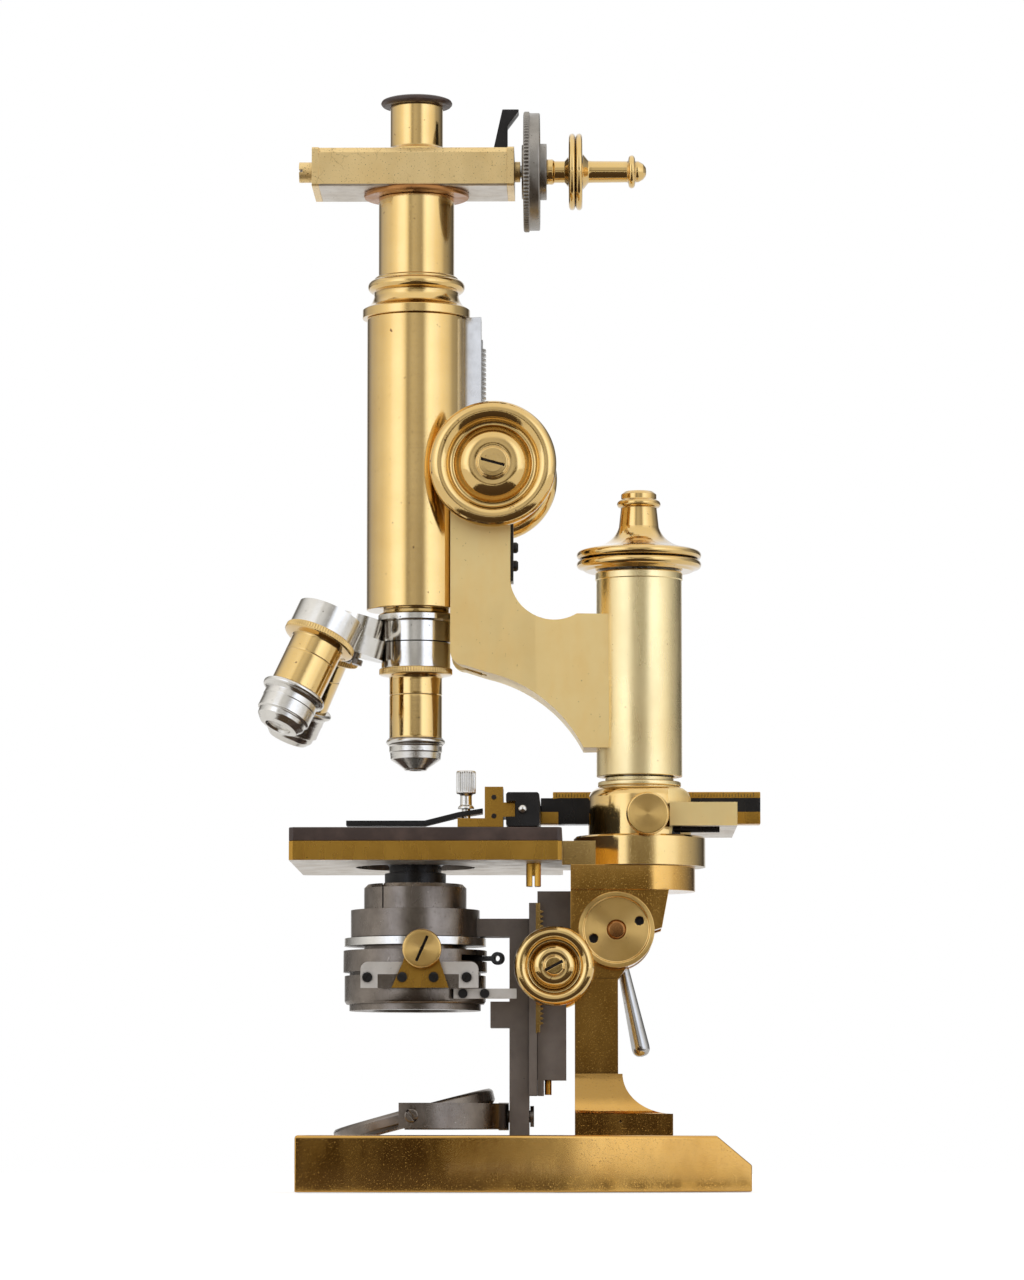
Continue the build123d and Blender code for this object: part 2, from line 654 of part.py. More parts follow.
GIB_THICK = 0.9
GIB_HALF = 5.0
gib_rises = (6.0, 12.0)
with BuildPart() as gib_plate:
    block(
        (-ARM_BLOCK_BACK, -ARM_BLOCK_BACK + GIB_THICK),
        (-GIB_HALF, GIB_HALF),
        (arm_hollow_z + 0.5, arm_hollow_z + 20.5),
    )
    for rise in gib_rises:
        gib_seat = Plane(
            (-ARM_BLOCK_BACK + GIB_THICK, 0, arm_hollow_z + rise),
            x_dir=(0, 0, 1),
            z_dir=(1, 0, 0),
        )
        turn(gib_seat, (0, 0), (1.8, 0), (1.8, 1.0), (1.3, 1.6), (0, 1.6))
        slot(gib_seat, 1.6, 4.0, 0.5, 0.6, 20)
save(gib_plate.part, "gib_plate")


def gear(place, teeth, length):
    """Spur pinion with straight-flanked teeth, one tooth on the plane's X axis."""
    pitch_r = MODULE * teeth / 2
    root_r = pitch_r - 1.25 * MODULE
    half_root = MODULE * 1.35 / 2
    half_tip = MODULE * 0.62 / 2
    with BuildSketch(place.offset(-length / 2)) as section:
        Circle(root_r)
        with PolarLocations(0, teeth):
            with BuildLine():
                Polyline(
                    (root_r * 0.9, half_root),
                    (pitch_r + 0.9 * MODULE, half_tip),
                    (pitch_r + 0.9 * MODULE, -half_tip),
                    (root_r * 0.9, -half_root),
                    close=True,
                )
            make_face()
    extrude(section.sketch, amount=length)


def rack(back, pitch, centre_z, middle_y, half, bottom, top):
    """Rack along Z with its teeth towards +X and a tooth gap at centre_z."""
    step = MODULE * pi
    low = int((bottom - centre_z) / step + 1)
    high = int((top - centre_z) / step - 1)
    root = pitch - 1.25 * MODULE
    tip = pitch + 0.85 * MODULE
    outline = [(back, bottom), (root, bottom)]
    for count in range(low, high):
        middle = centre_z + (count + 0.5) * step
        outline += [
            (root, middle - 0.36 * step),
            (tip, middle - 0.12 * step),
            (tip, middle + 0.12 * step),
            (root, middle + 0.36 * step),
        ]
    outline += [(root, top), (back, top)]
    with BuildSketch(Plane.XZ.offset(-middle_y)) as section:
        with BuildLine():
            Polyline(*outline, close=True)
        make_face()
    extrude(section.sketch, amount=half, both=True)


# --- coarse focus: pinion, two knobs and their screws --------------------
KNOB_START = ARM_HALF + GAP
KNOB_FACE = KNOB_START + KNOB_STANDOFF + KNOB_WEB
KNOB_SEAT = KNOB_FACE + 3.0
KNOB_SCREW_RADIUS = 5.0
SCREW_HEAD = 1.2
SHAFT_TIP = KNOB_SEAT - SHAFT_END / 2

with BuildPart() as coarse_pinion:
    rod(coarse_front, JOURNAL_RADIUS, RACK_HALF + SLIP, ARM_HALF - RACK_HALF - SLIP)
    rod(coarse_front, SHAFT_END_RADIUS, ARM_HALF, SHAFT_TIP - ARM_HALF)
    mirror(about=Plane.XZ)
    gear(coarse_rear, COARSE_TEETH, 2 * (RACK_HALF + SLIP))
save(coarse_pinion.part, "coarse_pinion")


def knob(place, radius, rim, dome, start, standoff, web, seat, screw_radius):
    """Turned knob: round rim, flat ring, domed middle and a seat for its screw."""
    face = start + standoff + web
    turn(
        place,
        (SHAFT_END_RADIUS, start),
        (dome * 0.7, start),
        (dome * 0.7, start + standoff),
        (radius - rim / 2, start + standoff),
        (radius - rim / 2, face),
        (dome, face),
        (dome * 0.82, face + (seat - face) * 0.7),
        (screw_radius, seat),
        (SHAFT_END_RADIUS, seat),
    )
    bead(place, radius, start + standoff + rim / 2, rim)


def knob_screw(place, seat, radius, turn_deg):
    """Cheese-head screw seated on a knob, its shank inside the shaft's hole."""
    turn(
        place,
        (0, seat),
        (radius, seat),
        (radius, seat + SCREW_HEAD * 0.7),
        (radius * 0.8, seat + SCREW_HEAD),
        (0, seat + SCREW_HEAD),
    )
    slot(place, seat + SCREW_HEAD, 3 * radius, 0.9, SCREW_HEAD * 0.6, turn_deg)


with BuildPart() as coarse_knobs:
    knob(
        coarse_front,
        KNOB_RADIUS,
        KNOB_RIM,
        KNOB_DOME,
        KNOB_START,
        KNOB_STANDOFF,
        KNOB_WEB,
        KNOB_SEAT,
        KNOB_SCREW_RADIUS,
    )
    mirror(about=Plane.XZ)
save(coarse_knobs.part, "coarse_knobs")

with BuildPart() as knob_screws:
    knob_screw(coarse_front, KNOB_SEAT, KNOB_SCREW_RADIUS, -15)
    mirror(about=Plane.XZ)
save(knob_screws.part, "knob_screws")

# --- body tube, its slide and rack --------------------------------------
TUBE_WALL = 1.2
TUBE_NECK = 10.8
TUBE_NECK_DROP = 1.1
tube_inside = TUBE_RADIUS - TUBE_WALL
with BuildPart() as body_tube:
    turn(
        optical,
        (TUBE_NECK - 2.0, TUBE_FOOT - TUBE_NECK_DROP),
        (TUBE_NECK, TUBE_FOOT - TUBE_NECK_DROP),
        (TUBE_NECK, TUBE_FOOT),
        (TUBE_RADIUS, TUBE_FOOT),
        (TUBE_RADIUS, TUBE_TOP),
        (tube_inside, TUBE_TOP),
        (tube_inside, TUBE_FOOT + 2 * TUBE_WALL),
        (TUBE_NECK - 2.0, TUBE_FOOT + 2 * TUBE_WALL),
    )
save(body_tube.part, "body_tube")

slide_bottom = TUBE_FOOT + 1.0
with BuildPart() as tube_slide:
    dovetail(-SLIDE_FRONT - 3 * SLIP, -SLIDE_BACK, SLIDE_HALF, SLIDE_NARROW, slide_bottom, TUBE_TOP)
    rod(optical, TUBE_RADIUS, 0, TUBE_TOP, mode=Mode.SUBTRACT)
    rack(
        -SLIDE_BACK,
        pinion_x - COARSE_PITCH_R,
        COARSE_Z,
        0,
        RACK_HALF,
        slide_bottom,
        TUBE_TOP - RACK_SHORT,
    )
save(tube_slide.part, "tube_slide")

# --- tube collar and draw tube ------------------------------------------
COLLAR_FLANGE = 17.75
COLLAR_WAIST = 13.9
COLLAR_BEAD = 16.0
COLLAR_BEAD_RISE = 10.6
COLLAR_HEIGHT = 13.8
COLLAR_DEPTH = 34.0
with BuildPart() as tube_collar:
    with BuildSketch(Plane(optical.origin, x_dir=(1, 0, 0), z_dir=(0, -1, 0))):
        with BuildLine():
            Polyline(
                (COLLAR_WAIST, TUBE_TOP + 7.2),
                (COLLAR_WAIST, TUBE_TOP + COLLAR_HEIGHT - 0.6),
                (COLLAR_WAIST - 0.5, TUBE_TOP + COLLAR_HEIGHT),
                (TUBE_BORE, TUBE_TOP + COLLAR_HEIGHT),
                (TUBE_BORE, TUBE_TOP - COLLAR_DEPTH),
                (tube_inside, TUBE_TOP - COLLAR_DEPTH),
                (tube_inside, TUBE_TOP),
                (COLLAR_FLANGE, TUBE_TOP),
                (COLLAR_FLANGE, TUBE_TOP + 2.8),
                (COLLAR_FLANGE - 0.8, TUBE_TOP + 3.4),
            )
            ThreePointArc(
                (COLLAR_FLANGE - 0.8, TUBE_TOP + 3.4),
                (COLLAR_WAIST + 0.9, TUBE_TOP + 4.9),
                (COLLAR_WAIST, TUBE_TOP + 7.2),
            )
        make_face()
    revolve(axis=Axis(optical.origin, optical.z_dir))
    bead(optical, COLLAR_BEAD, TUBE_TOP + COLLAR_BEAD_RISE, 4.2)
    rod(optical, TUBE_BORE, TUBE_TOP - COLLAR_DEPTH, 2 * COLLAR_DEPTH, mode=Mode.SUBTRACT)
save(tube_collar.part, "tube_collar")

DRAW_RISE = 40.2      # draw tube's top above the body tube's top, at rest
DRAW_TOP = TUBE_TOP + DRAW_RISE
draw_bore = DRAW_RADIUS - DRAW_WALL
with BuildPart() as draw_tube:
    turn(
        optical,
        (draw_bore, DRAW_TOP - DRAW_LENGTH),
        (DRAW_RADIUS, DRAW_TOP - DRAW_LENGTH),
        (DRAW_RADIUS, DRAW_TOP),
        (draw_bore, DRAW_TOP),
    )
save(draw_tube.part, "draw_tube")

# --- eyepiece micrometer -------------------------------------------------
EYE_RING_RADIUS = 17.4
EYE_RING = 1.8
SLEEVE_WALL = 1.0
SLEEVE_DEPTH = 20.0
BOX_FRONT = 93.0
BOX_BACK = 26.6
BOX_HALF = 15.0
BOX_HEIGHT = 13.0
BOX_WALL = 1.6
BOX_BEVEL = 1.8
END_PLATE = 2.3
EYE_HOLE = 8.0
BOX_Z = DRAW_TOP + EYE_RING
BOX_TOP = BOX_Z + BOX_HEIGHT
SPINDLE_Z = BOX_Z + 7.2
sleeve_radius = draw_bore - RUN

with BuildPart() as eyepiece_sleeve:
    turn(
        optical,
        (sleeve_radius - SLEEVE_WALL, DRAW_TOP - SLEEVE_DEPTH),
        (sleeve_radius, DRAW_TOP - SLEEVE_DEPTH),
        (sleeve_radius, DRAW_TOP + GAP / 2),
        (EYE_RING_RADIUS - GAP, DRAW_TOP + GAP / 2),
        (EYE_RING_RADIUS, DRAW_TOP + EYE_RING / 2),
        (EYE_RING_RADIUS - GAP, BOX_Z),
        (sleeve_radius - SLEEVE_WALL, BOX_Z),
    )
save(eyepiece_sleeve.part, "eyepiece_sleeve")

box_x = (-BOX_FRONT + END_PLATE, -BOX_BACK - END_PLATE)
with BuildPart() as micrometer_box:
    block(box_x, (-BOX_HALF, BOX_HALF), (BOX_Z, BOX_TOP))
    chamfer(micrometer_box.faces().sort_by(Axis.Z)[-1].edges().filter_by(Axis.X), BOX_BEVEL)
    chamfer(micrometer_box.faces().sort_by(Axis.Z)[0].edges().filter_by(Axis.X), FACET_EDGE)
    block(
        box_x,
        (-BOX_HALF + BOX_WALL, BOX_HALF - BOX_WALL),
        (BOX_Z + BOX_WALL, BOX_TOP - BOX_WALL - GAP),
        mode=Mode.SUBTRACT,
    )
    rod(optical, EYE_HOLE, BOX_Z, BOX_HEIGHT, mode=Mode.SUBTRACT)
save(micrometer_box.part, "micrometer_box")

SPINDLE_RADIUS = 2.2
PLUG_RADIUS = 3.4
PLUG_LENGTH = 4.8
spindle_axis = Plane((0, 0, SPINDLE_Z), x_dir=(0, 1, 0), z_dir=(1, 0, 0))
plug_end = Plane((-BOX_FRONT, 0, SPINDLE_Z), x_dir=(0, 1, 0), z_dir=(-1, 0, 0))
with BuildPart() as box_end_plates:
    block((-BOX_FRONT, box_x[0]), (-BOX_HALF, BOX_HALF), (BOX_Z, BOX_TOP))
    block((box_x[1], -BOX_BACK), (-BOX_HALF, BOX_HALF), (BOX_Z, BOX_TOP))
    chamfer(box_end_plates.edges().filter_by(Axis.X), FACET_EDGE)
    rod(plug_end, PLUG_RADIUS, 0, PLUG_LENGTH)
    slot(plug_end, PLUG_LENGTH, 3 * PLUG_RADIUS, 0.8, 1.2, 0)
    rod(spindle_axis, PLUG_RADIUS, -BOX_BACK, 1.9)
    rod(spindle_axis, SPINDLE_RADIUS + RUN, box_x[1], END_PLATE + 1.9, mode=Mode.SUBTRACT)
save(box_end_plates.part, "box_end_plates")

EYE_TUBE_RADIUS = 8.7
EYE_FLANGE = 11.6
EYE_TUBE_HEIGHT = 16.0
CAP_HEIGHT = 2.6
EYE_CAP_RADIUS = 11.9
eye_bore = EYE_TUBE_RADIUS - 1.0
with BuildPart() as eye_tube:
    turn(
        optical,
        (eye_bore, BOX_TOP),
        (EYE_FLANGE, BOX_TOP),
        (EYE_FLANGE - 0.7, BOX_TOP + 1.1),
        (EYE_TUBE_RADIUS, BOX_TOP + 1.4),
        (EYE_TUBE_RADIUS, BOX_TOP + EYE_TUBE_HEIGHT),
        (eye_bore, BOX_TOP + EYE_TUBE_HEIGHT),
    )
save(eye_tube.part, "eye_tube")

EYE_LENS_SEAT = 4.0
with BuildPart() as eye_cap:
    turn(
        optical,
        (EYE_LENS_SEAT, BOX_TOP + EYE_TUBE_HEIGHT),
        (EYE_CAP_RADIUS - 0.8, BOX_TOP + EYE_TUBE_HEIGHT),
        (EYE_CAP_RADIUS, BOX_TOP + EYE_TUBE_HEIGHT + 1.0),
        (EYE_CAP_RADIUS - 0.5, BOX_TOP + EYE_TUBE_HEIGHT + 2.0),
        (EYE_CAP_RADIUS - 2.2, BOX_TOP + EYE_TUBE_HEIGHT + CAP_HEIGHT),
        (EYE_LENS_SEAT + 2.0, BOX_TOP + EYE_TUBE_HEIGHT + CAP_HEIGHT - 0.4),
    )
save(eye_cap.part, "eye_cap")

LENS_THICK = 2.0
with BuildPart() as eyepiece_lenses:
    rod(optical, eye_bore, BOX_TOP + EYE_TUBE_HEIGHT - LENS_THICK, LENS_THICK)
    rod(optical, sleeve_radius - SLEEVE_WALL, DRAW_TOP - SLEEVE_DEPTH, LENS_THICK)
save(eyepiece_lenses.part, "eyepiece_lenses")

# bent index that reads the drum
INDEX_HALF = 4.0
INDEX_RISE = 14.5
with BuildPart() as index_pointer:
    with BuildSketch(Plane.XZ):
        with BuildLine():
            Polyline(
                (-BOX_BACK - 7.2, BOX_TOP),
                (-BOX_BACK - 2.3, BOX_TOP),
                (-BOX_BACK - 2.3, BOX_TOP + 9.0),
                (-BOX_BACK + 1.4, BOX_TOP + INDEX_RISE - 0.6),
                (-BOX_BACK + 1.4, BOX_TOP + INDEX_RISE),
                (-BOX_BACK - 4.0, BOX_TOP + INDEX_RISE),
                close=True,
            )
        make_face()
    extrude(amount=INDEX_HALF, both=True)
save(index_pointer.part, "index_pointer")

# drum, handle and spindle turn together
DRUM_GAP = 0.5
DRUM_RADIUS = 19.9
DRUM_WIDTH = 6.0
DRUM_DISH = 2.0
HANDLE_DISC = 12.7
drum_x = -BOX_BACK + 1.9 + DRUM_GAP
hub_x = drum_x + DRUM_WIDTH
disc_x = hub_x + 9.4
shaft_x = disc_x + 7.7
with BuildPart() as graduated_drum:
    turn(
        spindle_axis,
        (SPINDLE_RADIUS, drum_x),
        (9.0, drum_x),
        (9.0, drum_x + 0.6),
        (DRUM_RADIUS, drum_x + 0.6),
        (DRUM_RADIUS, hub_x),
        (DRUM_RADIUS - 2.0, hub_x),
        (DRUM_RADIUS - 2.0, hub_x - DRUM_DISH),
        (9.3, hub_x - DRUM_DISH),
        (9.3, hub_x + 2.2),
        (SPINDLE_RADIUS, hub_x + 2.2),
    )
save(graduated_drum.part, "graduated_drum")

with BuildPart() as drum_handle:
    turn(
        spindle_axis,
        (SPINDLE_RADIUS, hub_x + 2.2),
        (4.2, hub_x + 2.2),
        (4.2, disc_x),
        (HANDLE_DISC - 1.0, disc_x),
        (HANDLE_DISC - 1.0, disc_x + 4.7),
        (5.5, disc_x + 4.7),
        (3.6, shaft_x),
        (3.5, shaft_x + 12.0),
        (5.5, shaft_x + 12.2),
        (5.5, shaft_x + 14.4),
        (3.5, shaft_x + 14.6),
        (3.5, shaft_x + 15.6),
        (2.4, shaft_x + 17.6),
        (0, shaft_x + 18.1),
        (0, disc_x + 4.7),
        (SPINDLE_RADIUS, disc_x + 4.7),
    )
    for along in (1.2, 3.5):
        bead(spindle_axis, HANDLE_DISC, disc_x + along, 2.2)
save(drum_handle.part, "drum_handle")

HAIR_TRAVEL = 2.5     # each way from the middle
THREAD_RADIUS = 1.2
CARRIAGE_AHEAD = 15.0
CARRIAGE_BEHIND = 16.0
CARRIAGE_HALF = 2.5
carriage_end = OPTICAL_X + CARRIAGE_BEHIND
with BuildPart() as micrometer_spindle:
    shoulder_x = carriage_end + HAIR_TRAVEL + GAP
    thread_x = carriage_end - 2 * HAIR_TRAVEL
    rod(spindle_axis, SPINDLE_RADIUS, shoulder_x, disc_x + 4.7 - shoulder_x)
    rod(spindle_axis, THREAD_RADIUS, thread_x, shoulder_x - thread_x)
save(micrometer_spindle.part, "micrometer_spindle")

with BuildPart() as hair_carriage:
    carriage_x = (OPTICAL_X - CARRIAGE_AHEAD, carriage_end)
    carriage_y = (-BOX_HALF + BOX_WALL + GAP, BOX_HALF - BOX_WALL - GAP)
    block(carriage_x, carriage_y, (SPINDLE_Z - CARRIAGE_HALF, SPINDLE_Z + CARRIAGE_HALF))
    rod(optical, EYE_TUBE_RADIUS, BOX_Z, BOX_HEIGHT, mode=Mode.SUBTRACT)
    rod(spindle_axis, THREAD_RADIUS + RUN, OPTICAL_X, carriage_end - OPTICAL_X, mode=Mode.SUBTRACT)
save(hair_carriage.part, "hair_carriage")

# --- nosepiece: three sockets that turn about a tilted pivot -------------
NOSE_TILT = 16.0      # turret's axis, from the tube's axis
NOSE_PLATE_RADIUS = 12.4
NOSE_PLATE = 2.9
NOSE_BODY_RADIUS = 11.5
SOCKET_RADIUS = 11.3
SOCKET_FACE = 170.5   # face that the active objective's shoulder meets
SEAM_DROP = 7.5       # seam of the fixed and turning parts above that face
APEX_REACH = 76.0     # meeting point of all the objectives' axes above the face
HUB_RADIUS = 8.5
PIVOT_RADIUS = 2.0
PIVOT_HEAD = 3.6
HUB_REACH = 7.0       # hub's start above the seam
SOCKET_BORE = 6.8
APEX_Z = SOCKET_FACE + APEX_REACH
SEAM_RADIUS = APEX_REACH - SEAM_DROP
NOSE_TOP = TUBE_FOOT - TUBE_NECK_DROP
pivot_root = HUB_REACH - 1.0

tilt = radians(NOSE_TILT)
apex = Vector(OPTICAL_X, 0, APEX_Z)
pivot_way = Vector(-sin(tilt), 0, -cos(tilt))
pivot = Plane(apex, x_dir=(0, 1, 0), z_dir=pivot_way)
# each socket's plane starts at the apex and looks down its own objective
sockets = [
    Plane(apex, x_dir=(0, 1, 0), z_dir=Vector(0, 0, -1).rotate(Axis(apex, pivot_way), turn_deg))
    for turn_deg in (0, 120, 240)
]


def shell(radius, mode):
    """Ball about the apex, used to cut or keep what lies inside a radius."""
    with Locations(Location(apex)):
        Sphere(radius, mode=mode)


with BuildPart() as nosepiece_plate:
    rod(optical, NOSE_BODY_RADIUS, SOCKET_FACE, NOSE_TOP - NOSE_PLATE - SOCKET_FACE)
    rod(pivot, HUB_RADIUS, SEAM_RADIUS - HUB_REACH, 2 * SEAM_DROP)
    shell(SEAM_RADIUS, Mode.INTERSECT)
    turn(
        optical,
        (0, NOSE_TOP - NOSE_PLATE),
        (NOSE_PLATE_RADIUS - FACET_EDGE, NOSE_TOP - NOSE_PLATE),
        (NOSE_PLATE_RADIUS, NOSE_TOP - NOSE_PLATE + FACET_EDGE),
        (NOSE_PLATE_RADIUS, NOSE_TOP - FACET_EDGE),
        (NOSE_PLATE_RADIUS - FACET_EDGE, NOSE_TOP),
        (0, NOSE_TOP),
    )
    rod(optical, SOCKET_BORE, SOCKET_FACE, NOSE_TOP - SOCKET_FACE, mode=Mode.SUBTRACT)
    rod(pivot, PIVOT_RADIUS, SEAM_RADIUS - pivot_root, 2 * SEAM_DROP, mode=Mode.SUBTRACT)
save(nosepiece_plate.part, "nosepiece_plate")

with BuildPart() as nosepiece_turret:
    for socket in sockets:
        rod(socket, SOCKET_RADIUS, SEAM_RADIUS - 2 * GAP, APEX_REACH - SEAM_RADIUS + 2 * GAP)
    rod(pivot, HUB_RADIUS + 2.5, SEAM_RADIUS - 2 * GAP, APEX_REACH - SEAM_RADIUS - 1.4)
    shell(SEAM_RADIUS + GAP / 2, Mode.SUBTRACT)
    for socket in sockets:
        rod(socket, SOCKET_BORE, SEAM_RADIUS - 1.0, 2 * SEAM_DROP, mode=Mode.SUBTRACT)
    rod(pivot, PIVOT_RADIUS + RUN, SEAM_RADIUS - 1.0, 2 * SEAM_DROP, mode=Mode.SUBTRACT)
save(nosepiece_turret.part, "nosepiece_turret")

with BuildPart() as turret_pivot:
    pivot_seat = APEX_REACH - 2 * GAP
    rod(pivot, PIVOT_RADIUS, SEAM_RADIUS - pivot_root, pivot_seat - SEAM_RADIUS + pivot_root)
    rod(pivot, PIVOT_HEAD, pivot_seat, 1.8)
    slot(pivot, pivot_seat + 1.8, 3 * PIVOT_HEAD, 0.8, 0.8, 0)
save(turret_pivot.part, "turret_pivot")

# --- objectives: brass barrel with a shoulder, nickel nose --------------
SHOULDER_RADIUS = 12.0
SHOULDER_HEIGHT = 3.4
BARREL_RADIUS = 8.65
HIGH_BARREL = 23.1    # from the shoulder's face to the nose's ring
LOW_BARREL = 20.4
LIGHT_RADIUS = 5.5
HIGH_BEAD = 1.0       # rings that stand out at the roots of the noses
LOW_BEAD = 2.0
HIGH_NOSE = 10.4
LOW_NOSE = 13.6


def objective_barrel(socket, length):
    """Brass barrel hung from its socket by a milled shoulder."""
    turn(
        socket,
        (LIGHT_RADIUS, APEX_REACH),
        (SHOULDER_RADIUS - 0.5, APEX_REACH),
        (SHOULDER_RADIUS, APEX_REACH + 0.6),
        (SHOULDER_RADIUS, APEX_REACH + 1.8),
        (BARREL_RADIUS, APEX_REACH + SHOULDER_HEIGHT),
        (BARREL_RADIUS, APEX_REACH + length),
        (LIGHT_RADIUS, APEX_REACH + length),
    )


with BuildPart() as high_objective:
    objective_barrel(sockets[0], HIGH_BARREL)
save(high_objective.part, "high_objective")

with BuildPart() as low_objective:
    objective_barrel(sockets[1], LOW_BARREL)
save(low_objective.part, "low_objective")

with BuildPart() as medium_objective:
    objective_barrel(sockets[2], LOW_BARREL)
save(medium_objective.part, "medium_objective")

with BuildPart() as objective_noses:
    tip = APEX_REACH + HIGH_BARREL
    turn(
        sockets[0],
        (0, tip + GAP),
        (LIGHT_RADIUS, tip),
        (BARREL_RADIUS + 0.4 * HIGH_BEAD, tip),
        (BARREL_RADIUS + HIGH_BEAD, tip + 1.1 * HIGH_BEAD),
        (BARREL_RADIUS + 0.4 * HIGH_BEAD, tip + 2.2 * HIGH_BEAD),
        (BARREL_RADIUS, tip + 2.6 * HIGH_BEAD),
        (BARREL_RADIUS, tip + 0.7 * HIGH_NOSE),
        (0.4 * BARREL_RADIUS, tip + HIGH_NOSE),
        (0, tip + HIGH_NOSE),
    )
    tip = APEX_REACH + LOW_BARREL
    for socket in sockets[1:]:
        turn(
            socket,
            (0, tip + GAP),
            (LIGHT_RADIUS, tip),
            (BARREL_RADIUS + 0.7 * LOW_BEAD, tip),
            (BARREL_RADIUS + LOW_BEAD, tip + 0.5 * LOW_BEAD),
            (BARREL_RADIUS + 0.7 * LOW_BEAD, tip + LOW_BEAD),
            (BARREL_RADIUS + 0.2 * LOW_BEAD, tip + 1.6 * LOW_BEAD),
            (BARREL_RADIUS + 0.1 * LOW_BEAD, tip + 0.7 * LOW_NOSE),
            (BARREL_RADIUS - 0.4 * LOW_BEAD, tip + LOW_NOSE - LOW_BEAD),
            (BARREL_RADIUS - 1.3 * LOW_BEAD, tip + LOW_NOSE),
            (0, tip + LOW_NOSE),
        )
save(objective_noses.part, "objective_noses")

# --- attachable mechanical stage ----------------------------------------
COLLAR_RADIUS = 16.8
COLLAR_SPLIT = 1.5
SADDLE_X = (23.8, 45.6)
SADDLE_Y = (-20.0, 45.0)
SADDLE_Z = (117.7, 125.3)
BAR_X = (-18.2, 54.3)
BAR_Y = (18.0, 26.0)
BAR_Z = (120.6, 129.2)
RULE_START = 4.0      # scale strip's start, behind the bar's front end
RULE_HEIGHT = 2.0
COLLAR_ROUND = 3.4
COLLAR_TOP = POST_TOP - GAP
SADDLE_ROD = 1.0      # radius of the stiffening rod under the saddle
SADDLE_ROD_X = (19.0, 40.0)
SADDLE_ROD_Y = -12.0
COLLAR_LUG_X = 16.6
COLLAR_LUG_Z = 121.3
THUMB_RADIUS = 7.0

with BuildPart() as clamp_collar:
    turn(
        limb,
        (POST_RADIUS, POST_Z),
        (COLLAR_RADIUS, POST_Z),
        (COLLAR_RADIUS, COLLAR_TOP - COLLAR_ROUND),
        (COLLAR_RADIUS - 0.25 * COLLAR_ROUND, COLLAR_TOP - 0.45 * COLLAR_ROUND),
        (COLLAR_RADIUS - 0.7 * COLLAR_ROUND, COLLAR_TOP - 0.1 * COLLAR_ROUND),
        (COLLAR_RADIUS - COLLAR_ROUND, COLLAR_TOP),
        (POST_RADIUS, COLLAR_TOP),
    )
    with BuildSketch(Plane.XY.offset(SADDLE_Z[0])):
        with Locations(((SADDLE_X[0] + SADDLE_X[1]) / 2, (SADDLE_Y[0] + SADDLE_Y[1]) / 2)):
            Rectangle(SADDLE_X[1] - SADDLE_X[0], SADDLE_Y[1] - SADDLE_Y[0])
        with Locations((LIMB_X, 0)):
            Circle(POST_RADIUS, mode=Mode.SUBTRACT)
    extrude(amount=SADDLE_Z[1] - SADDLE_Z[0])
    saddle_rod_way = Plane(
        (0, SADDLE_ROD_Y, SADDLE_Z[0] - 0.8 * SADDLE_ROD),
        x_dir=(0, 1, 0),
        z_dir=(1, 0, 0),
    )
    rod(saddle_rod_way, SADDLE_ROD, SADDLE_ROD_X[0], SADDLE_ROD_X[1] - SADDLE_ROD_X[0])
    block(
        SADDLE_X,
        (BAR_Y[0] - SLIP, BAR_Y[1] + SLIP),
        (BAR_Z[0] - SLIP, POST_TOP),
        mode=Mode.SUBTRACT,
    )
    block(
        (LIMB_X - COLLAR_SPLIT / 2, LIMB_X + COLLAR_SPLIT / 2),
        (POST_RADIUS - 2.0, COLLAR_RADIUS + 1.0),
        (POST_Z, POST_TOP),
        mode=Mode.SUBTRACT,
    )
save(clamp_collar.part, "clamp_collar")

thumb_way = Plane((COLLAR_LUG_X, 0, COLLAR_LUG_Z), x_dir=(1, 0, 0), z_dir=(0, -1, 0))
THUMB_FACE = FLANGE_RADIUS + 2 * GAP
THUMB_THICK = 4.0
with BuildPart() as clamp_thumbscrew:
    turn(
        thumb_way,
        (0, COLLAR_RADIUS + GAP),
        (THUMB_RADIUS * 0.5, COLLAR_RADIUS + GAP),
        (THUMB_RADIUS * 0.5, THUMB_FACE),
        (THUMB_RADIUS, THUMB_FACE),
        (THUMB_RADIUS, THUMB_FACE + THUMB_THICK - FACET_EDGE),
        (THUMB_RADIUS - FACET_EDGE, THUMB_FACE + THUMB_THICK),
        (0, THUMB_FACE + THUMB_THICK),
    )
save(clamp_thumbscrew.part, "clamp_thumbscrew")

CROSS_X = (-28.8, BAR_X[0])
CROSS_Y = (-42.0, 28.0)
CROSS_LIFT = 0.5
CROSS_HEIGHT = 10.8
CROSS_GROOVE = 3.0    # depth of the groove that guides the carriage
CROSS_BALL = 1.5
CROSS_BALL_RISE = 5.4
cross_z = (STAGE_TOP + CROSS_LIFT, STAGE_TOP + CROSS_LIFT + CROSS_HEIGHT)
groove_x = CROSS_X[0] + CROSS_GROOVE
groove_z = (cross_z[0] + CROSS_GROOVE, cross_z[0] + CROSS_GROOVE + 5.0)
CARRIAGE_X = (-35.7, -29.8)
CARRIAGE_Y = (-37.0, -23.0)
CARRIAGE_HEIGHT = 13.4
CARRIAGE_FOOT = -44.4
CARRIAGE_SOLE = 3.3   # foot's top above the stage
CARRIAGE_SCREW = 0.8
CARRIAGE_SCREW_RISE = (0.3, 0.75)
with BuildPart() as traverse_bar:
    block(BAR_X, BAR_Y, BAR_Z)
    block(
        (BAR_X[0] + RULE_START, BAR_X[1]),
        (BAR_Y[0], BAR_Y[1] - 3.0),
        (BAR_Z[1], BAR_Z[1] + RULE_HEIGHT),
    )
save(traverse_bar.part, "traverse_bar")

